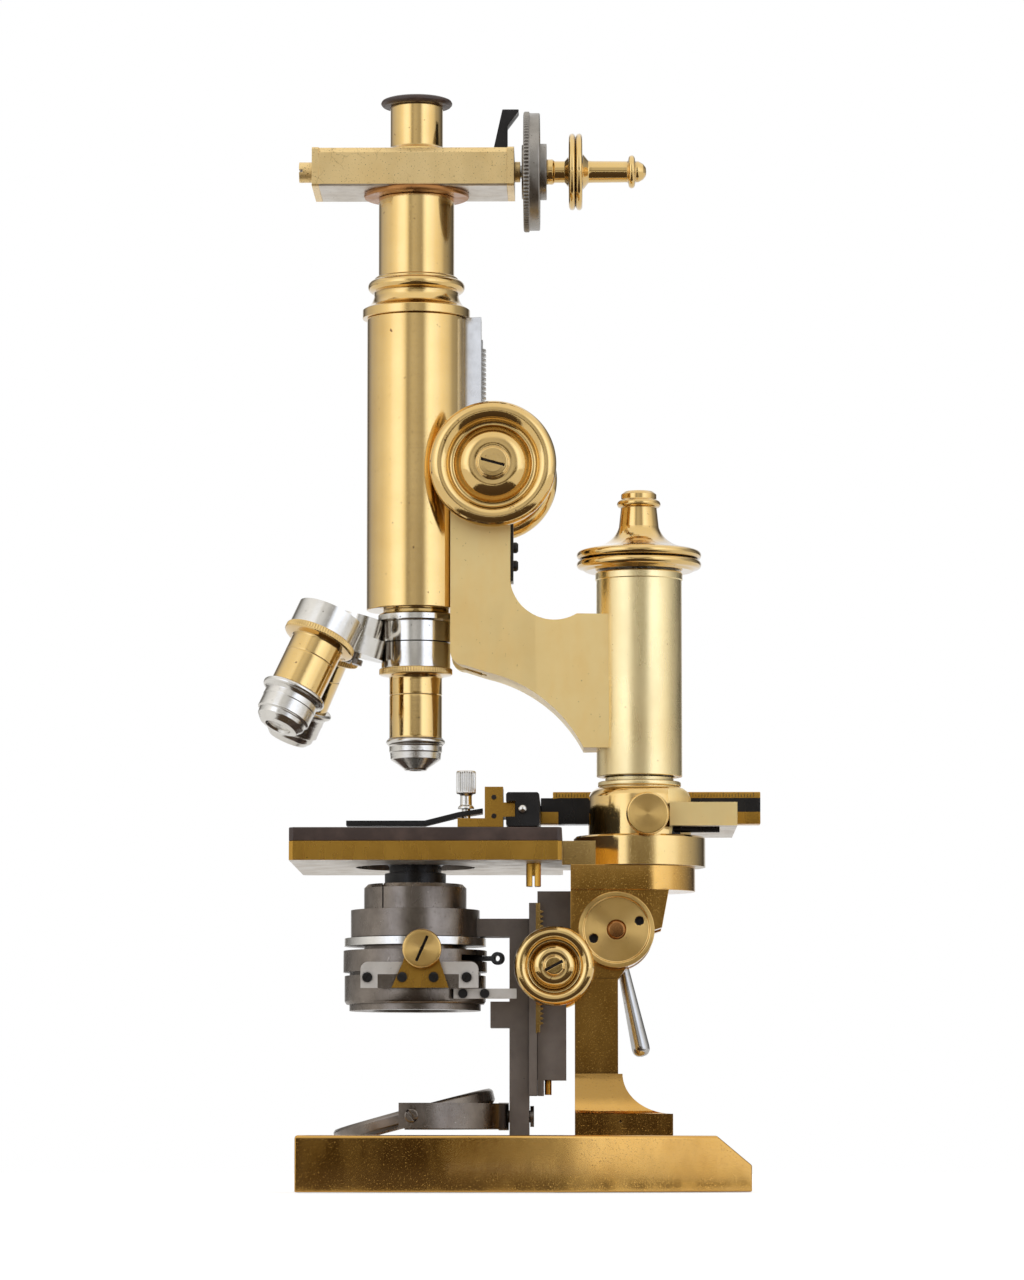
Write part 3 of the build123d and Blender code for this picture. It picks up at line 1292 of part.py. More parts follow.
with BuildPart() as cross_slide:
    block(CROSS_X, CROSS_Y, cross_z)
    chamfer(cross_slide.edges().filter_by(Axis.Y), FACET_EDGE)
    block((CROSS_X[0], groove_x), CROSS_Y, groove_z, mode=Mode.SUBTRACT)
    ball_x = (CROSS_X[0] + CROSS_X[1]) / 2
    with Locations(Location((ball_x, CROSS_Y[0], cross_z[0] + CROSS_BALL_RISE))):
        Sphere(CROSS_BALL)
save(cross_slide.part, "cross_slide")

with BuildPart() as stage_carriage:
    block(CARRIAGE_X, CARRIAGE_Y, (STAGE_TOP + CROSS_LIFT, STAGE_TOP + CARRIAGE_HEIGHT))
    block(
        (CARRIAGE_FOOT, CARRIAGE_X[0]),
        CARRIAGE_Y,
        (STAGE_TOP + CROSS_LIFT, STAGE_TOP + CARRIAGE_SOLE),
    )
    block(
        (CARRIAGE_X[1], groove_x - SLIP),
        CARRIAGE_Y,
        (groove_z[0] + SLIP, groove_z[1] - SLIP),
    )
    for rise in CARRIAGE_SCREW_RISE:
        screw_at = Plane(
            ((CARRIAGE_X[0] + CARRIAGE_X[1]) / 2, CARRIAGE_Y[0], STAGE_TOP + rise * CARRIAGE_HEIGHT),
            x_dir=(1, 0, 0),
            z_dir=(0, -1, 0),
        )
        rod(screw_at, CARRIAGE_SCREW, -CARRIAGE_SCREW, CARRIAGE_SCREW + GAP)
save(stage_carriage.part, "stage_carriage")

NUT_X = -41.8
NUT_Y = -30.0
NUT_SHANK = 1.4
NUT_NECK = 1.9
NUT_RADIUS_TOP = 3.15
NUT_HEAD = 11.5       # underside of the milled head above the stage
NUT_TOP = 18.9
FINGER_THICK = 1.6
FINGER_HALF = 3.5
FINGER_TIP_X = -80.2
FINGER_BEND = 13.2    # from the nut's axis to the foot of the finger's slope
FINGER_TURN = 2.4     # and to the slope's top
FINGER_END = 5.4
FINGER_LOW = 1.2
FINGER_MID = 3.9
FINGER_HIGH = 5.1
finger_nut_way = Plane((NUT_X, NUT_Y, STAGE_TOP))
nut_seat = FINGER_HIGH + FINGER_THICK
with BuildPart() as finger_nut:
    turn(
        finger_nut_way,
        (0, CARRIAGE_SOLE),
        (NUT_SHANK, CARRIAGE_SOLE),
        (NUT_SHANK, nut_seat),
        (NUT_NECK + 0.8, nut_seat),
        (NUT_NECK, nut_seat + 1.2),
        (NUT_NECK, NUT_HEAD - GAP),
        (NUT_RADIUS_TOP, NUT_HEAD),
        (NUT_RADIUS_TOP, NUT_TOP - GAP),
        (NUT_RADIUS_TOP - GAP, NUT_TOP),
        (0, NUT_TOP),
    )
save(finger_nut.part, "finger_nut")

finger_low = STAGE_TOP + FINGER_LOW
finger_mid = STAGE_TOP + FINGER_MID
finger_high = STAGE_TOP + FINGER_HIGH
with BuildPart() as specimen_finger:
    with BuildSketch(Plane.XZ.offset(-NUT_Y)):
        with BuildLine():
            Polyline(
                (NUT_X + FINGER_END, finger_high),
                (NUT_X - FINGER_TURN, finger_mid),
                (NUT_X - FINGER_BEND, finger_low),
                (FINGER_TIP_X, finger_low),
                (FINGER_TIP_X, finger_low + FINGER_THICK),
                (NUT_X - FINGER_BEND, finger_low + FINGER_THICK),
                (NUT_X - FINGER_TURN, finger_mid + FINGER_THICK),
                (NUT_X + FINGER_END, finger_high + FINGER_THICK),
                close=True,
            )
        make_face()
    extrude(amount=FINGER_HALF, both=True)
    rod(finger_nut_way, NUT_SHANK, 0, NUT_HEAD, mode=Mode.SUBTRACT)
save(specimen_finger.part, "specimen_finger")

# --- substage: fixed block, moving bar, rack and pinion ------------------
BLOCK_BACK = BRACKET_FRONT
BLOCK_FRONT = 19.1
BLOCK_RELIEF = 9.8
BLOCK_HALF = 8.0
BLOCK_TOP = 97.1
BLOCK_LOW = 36.0
STEP_LOW = 31.0
STEP_DEPTH = 2.0
STEP_SCREW = 1.1
STRIP_FRONT = 21.8
STRIP_TOP = 93.2
STRIP_LOW = 31.0
RACK_LOW = 51.3
BAR_FRONT = 28.2
BAR_HALF = 6.0
BAR_LOW = 16.0
TONGUE_NARROW = 3.0
TONGUE_WIDE = 4.2
TONGUE_DEPTH = 1.9
GEAR_WIDTH = 2.6
SUB_KNOB_RADIUS = 12.9
SUB_KNOB_RIM = 4.4
SUB_KNOB_DOME = 6.6
SUB_SHAFT = 2.2
ARM_Z = (82.5, 88.3)
STOP_X = (-34.4, -BAR_FRONT)    # block on the bar, beside the iris carrier
STOP_Z = (53.0, 61.4)
HOLDER_RADIUS = 21.0
HOLDER_BORE = 16.7
HOLDER_Z = (82.3, 91.2)

sub_x = -(BLOCK_FRONT - 1.5) + SUB_PITCH_R
gear_y = -(BLOCK_HALF + GAP + GEAR_WIDTH / 2)
sub_front = Plane((sub_x, 0, SUB_Z), x_dir=(1, 0, 0), z_dir=(0, -1, 0))
sub_rear = Plane((sub_x, 0, SUB_Z), x_dir=(1, 0, 0), z_dir=(0, 1, 0))

# mirror's place: its fork turns on a pin through the bar's lower end
MIRROR_X = -59.2
MIRROR_Z = 24.3
MIRROR_LEAN = 15.0
CELL_RADIUS = 26.8
CELL_HALF = 2.5
GLASS_RADIUS = 23.8
GLASS_THICK = 2.0
TRUNNION = 1.6
FORK_GAP = 0.9
FORK_THICK = 3.0
FORK_HALF = 4.1
FORK_PIN = 2.0
FORK_BOSS = 4.5
fork_way = Plane((0, 0, MIRROR_Z), x_dir=(0, 1, 0), z_dir=(1, 0, 0))

with BuildPart() as substage_block:
    block((-BLOCK_FRONT, -BLOCK_BACK), (-BLOCK_HALF, BLOCK_HALF), (AXIS_Z + 1.0, BLOCK_TOP))
    block((-BLOCK_FRONT, -BLOCK_RELIEF), (-BLOCK_HALF, BLOCK_HALF), (BLOCK_LOW, BLOCK_TOP))
    block((-BLOCK_FRONT, -BLOCK_FRONT + STEP_DEPTH), (-BLOCK_HALF, BLOCK_HALF), (STEP_LOW, BLOCK_LOW))
    for side in (-1, 1):
        step_screw = Plane((-BLOCK_FRONT + STEP_DEPTH + STEP_SCREW + GAP, side * BLOCK_HALF / 2, 0))
        rod(step_screw, STEP_SCREW, STEP_LOW + GAP, BLOCK_LOW - STEP_LOW)
    dovetail(
        -BLOCK_FRONT - TONGUE_DEPTH,
        -BLOCK_FRONT,
        TONGUE_NARROW,
        TONGUE_WIDE,
        BLOCK_LOW,
        STRIP_TOP,
    )
    rod(sub_front, SUB_SHAFT + RUN, -BLOCK_HALF, 2 * BLOCK_HALF, mode=Mode.SUBTRACT)
save(substage_block.part, "substage_block")

with BuildPart() as substage_bar:
    block(
        (-STRIP_FRONT, -BLOCK_FRONT - SLIP),
        (gear_y - GEAR_WIDTH / 2, BLOCK_HALF),
        (STRIP_LOW, STRIP_TOP),
    )
    dovetail(
        -BLOCK_FRONT - TONGUE_DEPTH - SLIP,
        -BLOCK_FRONT,
        TONGUE_NARROW + SLIP,
        TONGUE_WIDE + SLIP,
        STRIP_LOW,
        STRIP_TOP,
        mode=Mode.SUBTRACT,
    )
    block((-BAR_FRONT, -STRIP_FRONT), (-BAR_HALF, BAR_HALF), (BAR_LOW, ARM_Z[1]))
    block((OPTICAL_X + HOLDER_BORE, -STRIP_FRONT), (-BAR_HALF, BAR_HALF), ARM_Z)
    rod(optical, HOLDER_RADIUS, HOLDER_Z[0], HOLDER_Z[1] - HOLDER_Z[0])
    rod(optical, HOLDER_BORE, HOLDER_Z[0], HOLDER_Z[1] - HOLDER_Z[0], mode=Mode.SUBTRACT)
    rack(
        -BLOCK_FRONT - SLIP,
        sub_x - SUB_PITCH_R,
        SUB_Z,
        gear_y,
        GEAR_WIDTH / 2,
        RACK_LOW,
        STRIP_TOP,
    )
    block(STOP_X, (-BAR_HALF, BAR_HALF), STOP_Z)
    rod(fork_way, FORK_PIN + RUN, -BAR_FRONT, BAR_FRONT - STRIP_FRONT, mode=Mode.SUBTRACT)
save(substage_bar.part, "substage_bar")

SUB_KNOB_START = -gear_y + GEAR_WIDTH / 2
REAR_KNOB_START = BLOCK_HALF + GAP
FRONT_DISC = CHEEK_HALF + CAP_THICK + GAP
REAR_DISC = CHEEK_HALF + GAP
SUB_WEB = 2.6
SUB_SEAT_RISE = 2.0
SUB_SCREW = 3.2


def substage_knob(place, start, disc):
    """Round-rimmed knob, its hub and its screw on one end of the substage pinion."""
    seat = disc + SUB_WEB + SUB_SEAT_RISE
    knob(
        place,
        SUB_KNOB_RADIUS,
        SUB_KNOB_RIM,
        SUB_KNOB_DOME,
        start,
        disc - start,
        SUB_WEB,
        seat,
        SUB_SCREW,
    )
    rod(place, SUB_SHAFT, 0, seat)
    knob_screw(place, seat, SUB_SCREW, 28)


with BuildPart() as substage_pinion:
    substage_knob(sub_front, SUB_KNOB_START, FRONT_DISC)
    substage_knob(sub_rear, REAR_KNOB_START, REAR_DISC)
    gear(Plane((sub_x, gear_y, SUB_Z), x_dir=(1, 0, 0), z_dir=(0, 1, 0)), SUB_TEETH, GEAR_WIDTH)
save(substage_pinion.part, "substage_pinion")

# --- condenser: lens mount, neck, drum, and the ring that guides the iris
CONE_RADIUS = 9.9
CONE_FOOT_RADIUS = 10.0
CONE_WAIST_RADIUS = 8.5
LENS_FACE_RADIUS = 7.5
DRUM_SLIT_X = (-69.3, -68.9)
DRUM_TOP = 99.6
CONE_RISE = 11.6      # lens mount's top above the drum
CONE_TOP = DRUM_TOP + CONE_RISE
GUIDE_Z = (79.5, 82.0)
GUIDE_RADIUS = 23.1
IRIS_RADIUS = 23.4
IRIS_BORE = 14.0
IRIS_GROOVE = 2.0
IRIS_TOP = 78.0
IRIS_WAIST = (69.8, 71.0)
IRIS_FOOT = (58.5, 60.6)
PAD_Y = 23.8
PAD_HALF = 10.0
PLATE_THICK = 1.6
PLATE_X = (-75.8, -37.9)
PLATE_Z = (65.2, 73.6)
PLATE_CORNER = 2.5
PLATE_SCREW = 1.6
TONGUE_TOP = 80.0     # top of the plate's tongue, which carries the iris screw
iris_screw_way = Plane((-55.9, 0, 77.6), x_dir=(1, 0, 0), z_dir=(0, -1, 0))
IRIS_SCREW_SHAFT = 1.2
IRIS_SCREW_RADIUS = 6.3
IRIS_SCREW_HEAD = 3.6
with BuildPart() as condenser:
    turn(
        optical,
        (0, IRIS_TOP + GAP),
        (HOLDER_BORE, IRIS_TOP + GAP),
        (HOLDER_BORE, GUIDE_Z[0]),
        (GUIDE_RADIUS, GUIDE_Z[0]),
        (GUIDE_RADIUS, GUIDE_Z[1]),
        (HOLDER_BORE, GUIDE_Z[1]),
        (HOLDER_BORE, DRUM_TOP - 1.2),
        (HOLDER_BORE - 1.2, DRUM_TOP),
        (CONE_FOOT_RADIUS, DRUM_TOP),
        (CONE_FOOT_RADIUS, DRUM_TOP + 3.6),
        (CONE_WAIST_RADIUS, DRUM_TOP + 3.8),
        (CONE_WAIST_RADIUS, DRUM_TOP + 6.0),
        (CONE_RADIUS, DRUM_TOP + 7.0),
        (CONE_RADIUS, DRUM_TOP + 8.4),
        (LENS_FACE_RADIUS, CONE_TOP),
        (0, CONE_TOP),
    )
    block(DRUM_SLIT_X, (-HOLDER_BORE, 0), (HOLDER_Z[1] + GAP, DRUM_TOP), mode=Mode.SUBTRACT)
save(condenser.part, "condenser")

LEVER_Z = 74.5        # underside of the iris ring and its arm
LEVER_THICK = 1.6
LEVER_WIDTH = 2.2
LEVER_REACH = 28.0
LEVER_TURN = -15.0
SLOT_Y = (-17.5, 9.0)
STRAP_X = (-46.0, -25.7)
STRAP_Y = (-20.9, -18.9)
STRAP_Z = (61.9, 65.1)
STRAP_SCREWS = (-43.0, -36.0)
STRAP_SCREW = 1.5
SCREW_RISE = 0.7      # height of the small screws' heads

with BuildPart() as iris_carrier:
    turn(
        optical,
        (IRIS_BORE, IRIS_FOOT[0]),
        (IRIS_RADIUS - IRIS_GROOVE, IRIS_FOOT[0]),
        (IRIS_RADIUS - IRIS_GROOVE, IRIS_FOOT[1]),
        (IRIS_RADIUS - 0.5 * IRIS_GROOVE, IRIS_FOOT[1]),
        (IRIS_RADIUS - 0.2 * IRIS_GROOVE, IRIS_FOOT[1] + 0.5 * IRIS_GROOVE),
        (IRIS_RADIUS - 0.2 * IRIS_GROOVE, IRIS_WAIST[0]),
        (IRIS_RADIUS - IRIS_GROOVE, IRIS_WAIST[0]),
        (IRIS_RADIUS - IRIS_GROOVE, IRIS_WAIST[1]),
        (IRIS_RADIUS, IRIS_WAIST[1]),
        (IRIS_RADIUS, IRIS_TOP),
        (IRIS_BORE, IRIS_TOP),
    )
    block(
        (OPTICAL_X - PAD_HALF, OPTICAL_X + PAD_HALF),
        (-PAD_Y, -PAD_Y + 5.0),
        (PLATE_Z[0] + GAP, PLATE_Z[1] - GAP),
    )
    block(STRAP_X, STRAP_Y, STRAP_Z)
    for screw_x in STRAP_SCREWS:
        strap_screw = Plane(
            (screw_x, STRAP_Y[0], (STRAP_Z[0] + STRAP_Z[1]) / 2),
            x_dir=(1, 0, 0),
            z_dir=(0, -1, 0),
        )
        rod(strap_screw, STRAP_SCREW, 0, SCREW_RISE)
    block(
        (OPTICAL_X + IRIS_BORE * 0.6, OPTICAL_X + IRIS_RADIUS + 1.0),
        SLOT_Y,
        (LEVER_Z - SLIP, LEVER_Z + LEVER_THICK + SLIP),
        mode=Mode.SUBTRACT,
    )
save(iris_carrier.part, "iris_carrier")

# iris plate: screwed to the carrier, its tongue carries the iris screw
plate_middle = (PLATE_X[0] + PLATE_X[1]) / 2
TONGUE_FACE = PAD_Y + 2 * PLATE_THICK
TONGUE_LOW = (-8.9, 9.4)      # tongue's sides from the plate's middle
TONGUE_MID = (-5.2, 6.6)
TONGUE_HIGH = (-3.6, 5.5)
PLATE_SCREW_INSET = (2.2, 3.8)
TONGUE_SCREWS = (-5.5, 4.6)
PLATE_SCREW_Z = PLATE_Z[0] + 3.4
SCREW_KERF = 0.5


def plate_screw(along, face, turn_deg):
    """Slotted screw head on a face of the iris plate."""
    place = Plane((along, 0, PLATE_SCREW_Z), x_dir=(1, 0, 0), z_dir=(0, -1, 0))
    rod(place, PLATE_SCREW, face, SCREW_RISE)
    slot(place, face + SCREW_RISE, 3 * PLATE_SCREW, SCREW_KERF, SCREW_RISE / 2, turn_deg)


with BuildPart() as iris_plate:
    with BuildSketch(Plane.XZ.offset(PAD_Y)):
        with Locations((plate_middle, PLATE_Z[0])):
            RectangleRounded(PLATE_X[1] - PLATE_X[0], 2 * (PLATE_Z[1] - PLATE_Z[0]), PLATE_CORNER)
        with Locations((plate_middle, PLATE_Z[0] - PLATE_Z[1] / 2)):
            Rectangle(PLATE_Z[1], PLATE_Z[1], mode=Mode.SUBTRACT)
    extrude(amount=PLATE_THICK)
    with BuildSketch(Plane.XZ.offset(PAD_Y + PLATE_THICK)):
        with BuildLine():
            Polyline(
                (plate_middle + TONGUE_LOW[0], PLATE_Z[0]),
                (plate_middle + TONGUE_MID[0], PLATE_Z[1]),
                (plate_middle + TONGUE_HIGH[0], TONGUE_TOP),
                (plate_middle + TONGUE_HIGH[1], TONGUE_TOP),
                (plate_middle + TONGUE_MID[1], PLATE_Z[1]),
                (plate_middle + TONGUE_LOW[1], PLATE_Z[0]),
                close=True,
            )
        make_face()
    extrude(amount=PLATE_THICK)
    plate_screw(PLATE_X[0] + PLATE_SCREW_INSET[0], PAD_Y + PLATE_THICK, 50)
    plate_screw(PLATE_X[1] - PLATE_SCREW_INSET[1], PAD_Y + PLATE_THICK, 50)
    plate_screw(plate_middle + TONGUE_SCREWS[0], TONGUE_FACE, -40)
    plate_screw(plate_middle + TONGUE_SCREWS[1], TONGUE_FACE, -40)
    rod(iris_screw_way, IRIS_SCREW_SHAFT + RUN, PAD_Y, 3 * PLATE_THICK, mode=Mode.SUBTRACT)
save(iris_plate.part, "iris_plate")

with BuildPart() as iris_thumbscrew:
    head_y = TONGUE_FACE + SCREW_RISE + 2 * GAP
    rod(iris_screw_way, IRIS_SCREW_SHAFT, PAD_Y + GAP, head_y - PAD_Y - GAP)
    turn(
        iris_screw_way,
        (0, head_y),
        (IRIS_SCREW_RADIUS - FACET_EDGE, head_y),
        (IRIS_SCREW_RADIUS, head_y + FACET_EDGE),
        (IRIS_SCREW_RADIUS, head_y + IRIS_SCREW_HEAD - FACET_EDGE),
        (IRIS_SCREW_RADIUS - FACET_EDGE, head_y + IRIS_SCREW_HEAD),
        (0, head_y + IRIS_SCREW_HEAD),
    )
    slot(iris_screw_way, head_y + IRIS_SCREW_HEAD, 3 * IRIS_SCREW_RADIUS, 1.1, IRIS_SCREW_HEAD / 3, 66)
save(iris_thumbscrew.part, "iris_thumbscrew")

# iris ring: it runs in the carrier's bore, its arm comes out of the slot
EYELET = 2.1
EYELET_HOLE = 0.9
iris_ring = Plane((OPTICAL_X, 0, LEVER_Z), x_dir=(1, 0, 0), z_dir=(0, 0, 1))
lever_turn = radians(LEVER_TURN)
arm_end = LEVER_REACH - (EYELET + EYELET_HOLE) / 2
eyelet_way = Plane(
    (
        OPTICAL_X + LEVER_REACH * cos(lever_turn),
        LEVER_REACH * sin(lever_turn),
        LEVER_Z + LEVER_THICK / 2,
    ),
    x_dir=(cos(lever_turn), sin(lever_turn), 0),
    z_dir=(sin(lever_turn), -cos(lever_turn), 0),
)
with BuildPart() as iris_lever:
    with BuildSketch(iris_ring):
        Circle(IRIS_BORE - RUN)
        with Locations(Location((0, 0, 0), (0, 0, LEVER_TURN))):
            with Locations((arm_end / 2, 0)):
                Rectangle(arm_end, LEVER_WIDTH)
        Circle(IRIS_BORE - LEVER_WIDTH, mode=Mode.SUBTRACT)
    extrude(amount=LEVER_THICK)
    rod(eyelet_way, EYELET, -LEVER_WIDTH / 2, LEVER_WIDTH)
    rod(eyelet_way, EYELET_HOLE, -LEVER_WIDTH, 2 * LEVER_WIDTH, mode=Mode.SUBTRACT)
save(iris_lever.part, "iris_lever")

# --- mirror: glass in a cell, trunnions in a C-shaped fork ----------------
lean = radians(MIRROR_LEAN)
mirror_face = Plane(
    (MIRROR_X, 0, MIRROR_Z),
    x_dir=(cos(lean), 0, sin(lean)),
    z_dir=(-sin(lean), 0, cos(lean)),
)
trunnion_way = Plane((MIRROR_X, 0, MIRROR_Z), x_dir=(1, 0, 0), z_dir=(0, 1, 0))
FORK_BORE = CELL_RADIUS + FORK_GAP
FORK_RADIUS = FORK_BORE + FORK_THICK
with BuildPart() as mirror_cell:
    turn(
        mirror_face,
        (0, -CELL_HALF),
        (CELL_RADIUS - 1.0, -CELL_HALF),
        (CELL_RADIUS, -CELL_HALF + 1.0),
        (CELL_RADIUS, CELL_HALF - 1.0),
        (CELL_RADIUS - 1.0, CELL_HALF),
        (GLASS_RADIUS, CELL_HALF),
        (GLASS_RADIUS, CELL_HALF - GLASS_THICK),
        (0, CELL_HALF - GLASS_THICK),
    )
    for side in (trunnion_way, Plane(trunnion_way.origin, x_dir=(1, 0, 0), z_dir=(0, -1, 0))):
        rod(side, TRUNNION, CELL_RADIUS - 1.0, FORK_RADIUS + 0.4 - CELL_RADIUS + 1.0)
save(mirror_cell.part, "mirror_cell")

with BuildPart() as mirror_glass:
    rod(mirror_face, GLASS_RADIUS, CELL_HALF - GLASS_THICK, GLASS_THICK - GAP)
save(mirror_glass.part, "mirror_glass")

with BuildPart() as mirror_fork:
    with BuildSketch(Plane.XY.offset(MIRROR_Z - FORK_HALF)):
        with Locations((MIRROR_X, 0)):
            Circle(FORK_RADIUS)
            Circle(FORK_BORE, mode=Mode.SUBTRACT)
        with Locations((MIRROR_X - FORK_RADIUS - FORK_HALF, 0)):
            Rectangle(2 * FORK_RADIUS, 2 * FORK_RADIUS, mode=Mode.SUBTRACT)
        with Locations((FORK_RADIUS - BAR_FRONT - GAP, 0)):
            Rectangle(2 * FORK_RADIUS, 2 * FORK_RADIUS, mode=Mode.SUBTRACT)
    extrude(amount=2 * FORK_HALF)
    boss_x = MIRROR_X + FORK_BORE - 0.3
    rod(fork_way, FORK_BOSS, boss_x, -BAR_FRONT - GAP - boss_x)
    rod(fork_way, FORK_PIN, -BAR_FRONT - 2 * GAP, BAR_FRONT - STRIP_FRONT + 4 * GAP)
    rod(fork_way, FORK_PIN + 1.4, -STRIP_FRONT + GAP, 1.2)
    rod(
        trunnion_way,
        TRUNNION + RUN,
        -2 * FORK_RADIUS,
        4 * FORK_RADIUS,
        mode=Mode.SUBTRACT,
    )
save(mirror_fork.part, "mirror_fork")
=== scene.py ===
"""Looks of a brass compound microscope, built round its CAD frame."""

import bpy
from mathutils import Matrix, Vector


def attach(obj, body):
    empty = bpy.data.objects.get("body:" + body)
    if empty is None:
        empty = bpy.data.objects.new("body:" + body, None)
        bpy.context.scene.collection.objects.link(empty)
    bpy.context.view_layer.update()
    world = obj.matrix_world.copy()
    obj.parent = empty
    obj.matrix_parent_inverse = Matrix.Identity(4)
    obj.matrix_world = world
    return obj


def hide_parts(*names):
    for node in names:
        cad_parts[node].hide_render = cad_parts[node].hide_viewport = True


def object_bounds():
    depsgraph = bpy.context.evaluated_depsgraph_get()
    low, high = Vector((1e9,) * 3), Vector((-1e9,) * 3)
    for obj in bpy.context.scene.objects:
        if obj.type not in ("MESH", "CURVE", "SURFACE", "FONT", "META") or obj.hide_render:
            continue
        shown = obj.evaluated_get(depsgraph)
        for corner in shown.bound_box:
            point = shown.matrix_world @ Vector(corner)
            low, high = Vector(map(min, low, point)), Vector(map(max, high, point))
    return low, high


bl_info = {
    "name": "Brass Microscope Finisher",
    "version": (1, 0, 0),
    "blender": (4, 5, 0),
    "location": "3D View > Sidebar > Microscope",
    "description": "Builds the turned, knurled and lacquered surfaces of a brass microscope",
    "category": "Add Mesh",
}

import math
from functools import cache

import bmesh
import bpy
import numpy as np
from mathutils import Vector

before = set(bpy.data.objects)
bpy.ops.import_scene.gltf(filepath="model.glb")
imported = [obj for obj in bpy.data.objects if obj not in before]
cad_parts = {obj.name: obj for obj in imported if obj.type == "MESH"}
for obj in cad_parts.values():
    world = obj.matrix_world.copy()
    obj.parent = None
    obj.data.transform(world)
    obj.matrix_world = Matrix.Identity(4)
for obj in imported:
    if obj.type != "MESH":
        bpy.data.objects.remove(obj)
CAD_BOX = [list(corner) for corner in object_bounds()]
MM = 0.001
SAME_POINT = 1e-6  # metres within which two points are one

# Places of the turned pieces: a point in mm, and the way the axis runs.
TUBE_AXIS = ((-59.0, 0.0, 0.0), (0, 0, 1))
LIMB_AXIS = ((14.2, 0.0, 0.0), (0, 0, 1))
COARSE_FRONT = ((-33.4, 0.0, 235.5), (0, -1, 0))
COARSE_REAR = ((-33.4, 0.0, 235.5), (0, 1, 0))
JOINT_FRONT = ((6.5, 0.0, 84.1), (0, -1, 0))
JOINT_REAR = ((6.5, 0.0, 84.1), (0, 1, 0))
SUBSTAGE_FRONT = ((-13.6, 0.0, 72.3), (0, -1, 0))
SUBSTAGE_REAR = ((-13.6, 0.0, 72.3), (0, 1, 0))
SPINDLE_AXIS = ((0.0, 0.0, 335.4), (1, 0, 0))


# ---------------------------------------------------------------- surfaces
def place_axes(way):
    """Three unit vectors of a place: across, up and along, with across near +Y so seams lie behind."""
    along = np.array(way, float) / np.linalg.norm(way)
    guide = np.array((0.0, 1.0, 0.0)) if abs(along[1]) < 0.9 else np.array((0.0, 0.0, 1.0))
    across = guide - along * (guide @ along)
    across /= np.linalg.norm(across)
    return across, np.cross(along, across), along


def soften(outline, radius, closed, steps=4):
    """Rounds an outline's corners.

    At each corner P the curve (1-t)^2 A + 2t(1-t) P + t^2 B runs from A to B, where A and B
    lie on the two sides, the radius away from P but never past 0.45 of a side.
    """
    p = np.asarray(outline, float)
    if closed:
        middle, before, after = p, np.roll(p, 1, axis=0), np.roll(p, -1, axis=0)
    else:
        middle, before, after = p[1:-1], p[:-2], p[2:]
    to_a, to_b = before - middle, after - middle
    len_a = np.linalg.norm(to_a, axis=1, keepdims=True)
    len_b = np.linalg.norm(to_b, axis=1, keepdims=True)
    trim = np.minimum(radius, 0.45 * np.minimum(len_a, len_b))
    a = middle + to_a / len_a * trim
    b = middle + to_b / len_b * trim
    t = np.linspace(0, 1, steps)[None, :, None]
    arcs = (1 - t) ** 2 * a[:, None] + 2 * t * (1 - t) * middle[:, None] + t**2 * b[:, None]
    arcs = arcs.reshape(-1, 2)
    return arcs if closed else np.vstack([p[:1], arcs, p[-1:]])


def refine(outline, step, closed):
    """Adds points so that no side of an outline is longer than a step: P + k/n (Q - P)."""
    p = np.asarray(outline, float)
    q = np.roll(p, -1, axis=0) if closed else p[1:]
    p0 = p if closed else p[:-1]
    count = np.maximum(1, np.ceil(np.linalg.norm(q - p0, axis=1) / step)).astype(int)
    start = np.repeat(p0, count, axis=0)
    side = np.repeat(q - p0, count, axis=0)
    offset = np.arange(count.sum()) - np.repeat(np.cumsum(count) - count, count)
    made = start + side * (offset / np.repeat(count, count))[:, None]
    return made if closed else np.vstack([made, p[-1:]])


def surface(name, points, wrap_u, wrap_v, uv):
    """Mesh object from a grid of points in mm, quads between neighbours, closed and turned outwards."""
    nu, nv = points.shape[:2]
    i = np.arange(nu if wrap_u else nu - 1)[:, None]
    j = np.arange(nv if wrap_v else nv - 1)[None, :]
    i2, j2 = (i + 1) % nu, (j + 1) % nv
    corners = [i * nv + j, i2 * nv + j, i2 * nv + j2, i * nv + j2]
    faces = np.stack([np.broadcast_to(c, (i.size, j.size)) for c in corners], -1).reshape(-1, 4)
    mesh = bpy.data.meshes.new(name)
    mesh.from_pydata((points.reshape(-1, 3) * MM).tolist(), [], faces.tolist())
    u, v = uv
    ui = [np.broadcast_to(u[k], (i.size, j.size)) for k in (i, i + 1, i + 1, i)]
    vj = [np.broadcast_to(v[k], (i.size, j.size)) for k in (j, j, j + 1, j + 1)]
    layer = mesh.uv_layers.new(name="run")
    layer.data.foreach_set("uv", np.stack([np.stack(ui, -1), np.stack(vj, -1)], -1).ravel())
    return close_up(name, mesh)


def close_up(name, mesh):
    """Merges doubled points, turns the faces outwards, and links the object."""
    work = bmesh.new()
    work.from_mesh(mesh)
    bmesh.ops.remove_doubles(work, verts=work.verts, dist=2 * SAME_POINT)
    bmesh.ops.dissolve_degenerate(work, edges=work.edges, dist=1e-7)
    bmesh.ops.recalc_face_normals(work, faces=work.faces)
    work.to_mesh(mesh)
    work.free()
    mesh.polygons.foreach_set("use_smooth", np.ones(len(mesh.polygons), bool))
    made = bpy.data.objects.new(name, mesh)
    bpy.context.scene.collection.objects.link(made)
    weigh = made.modifiers.new("even shading", "WEIGHTED_NORMAL")
    weigh.keep_sharp = True
    return made


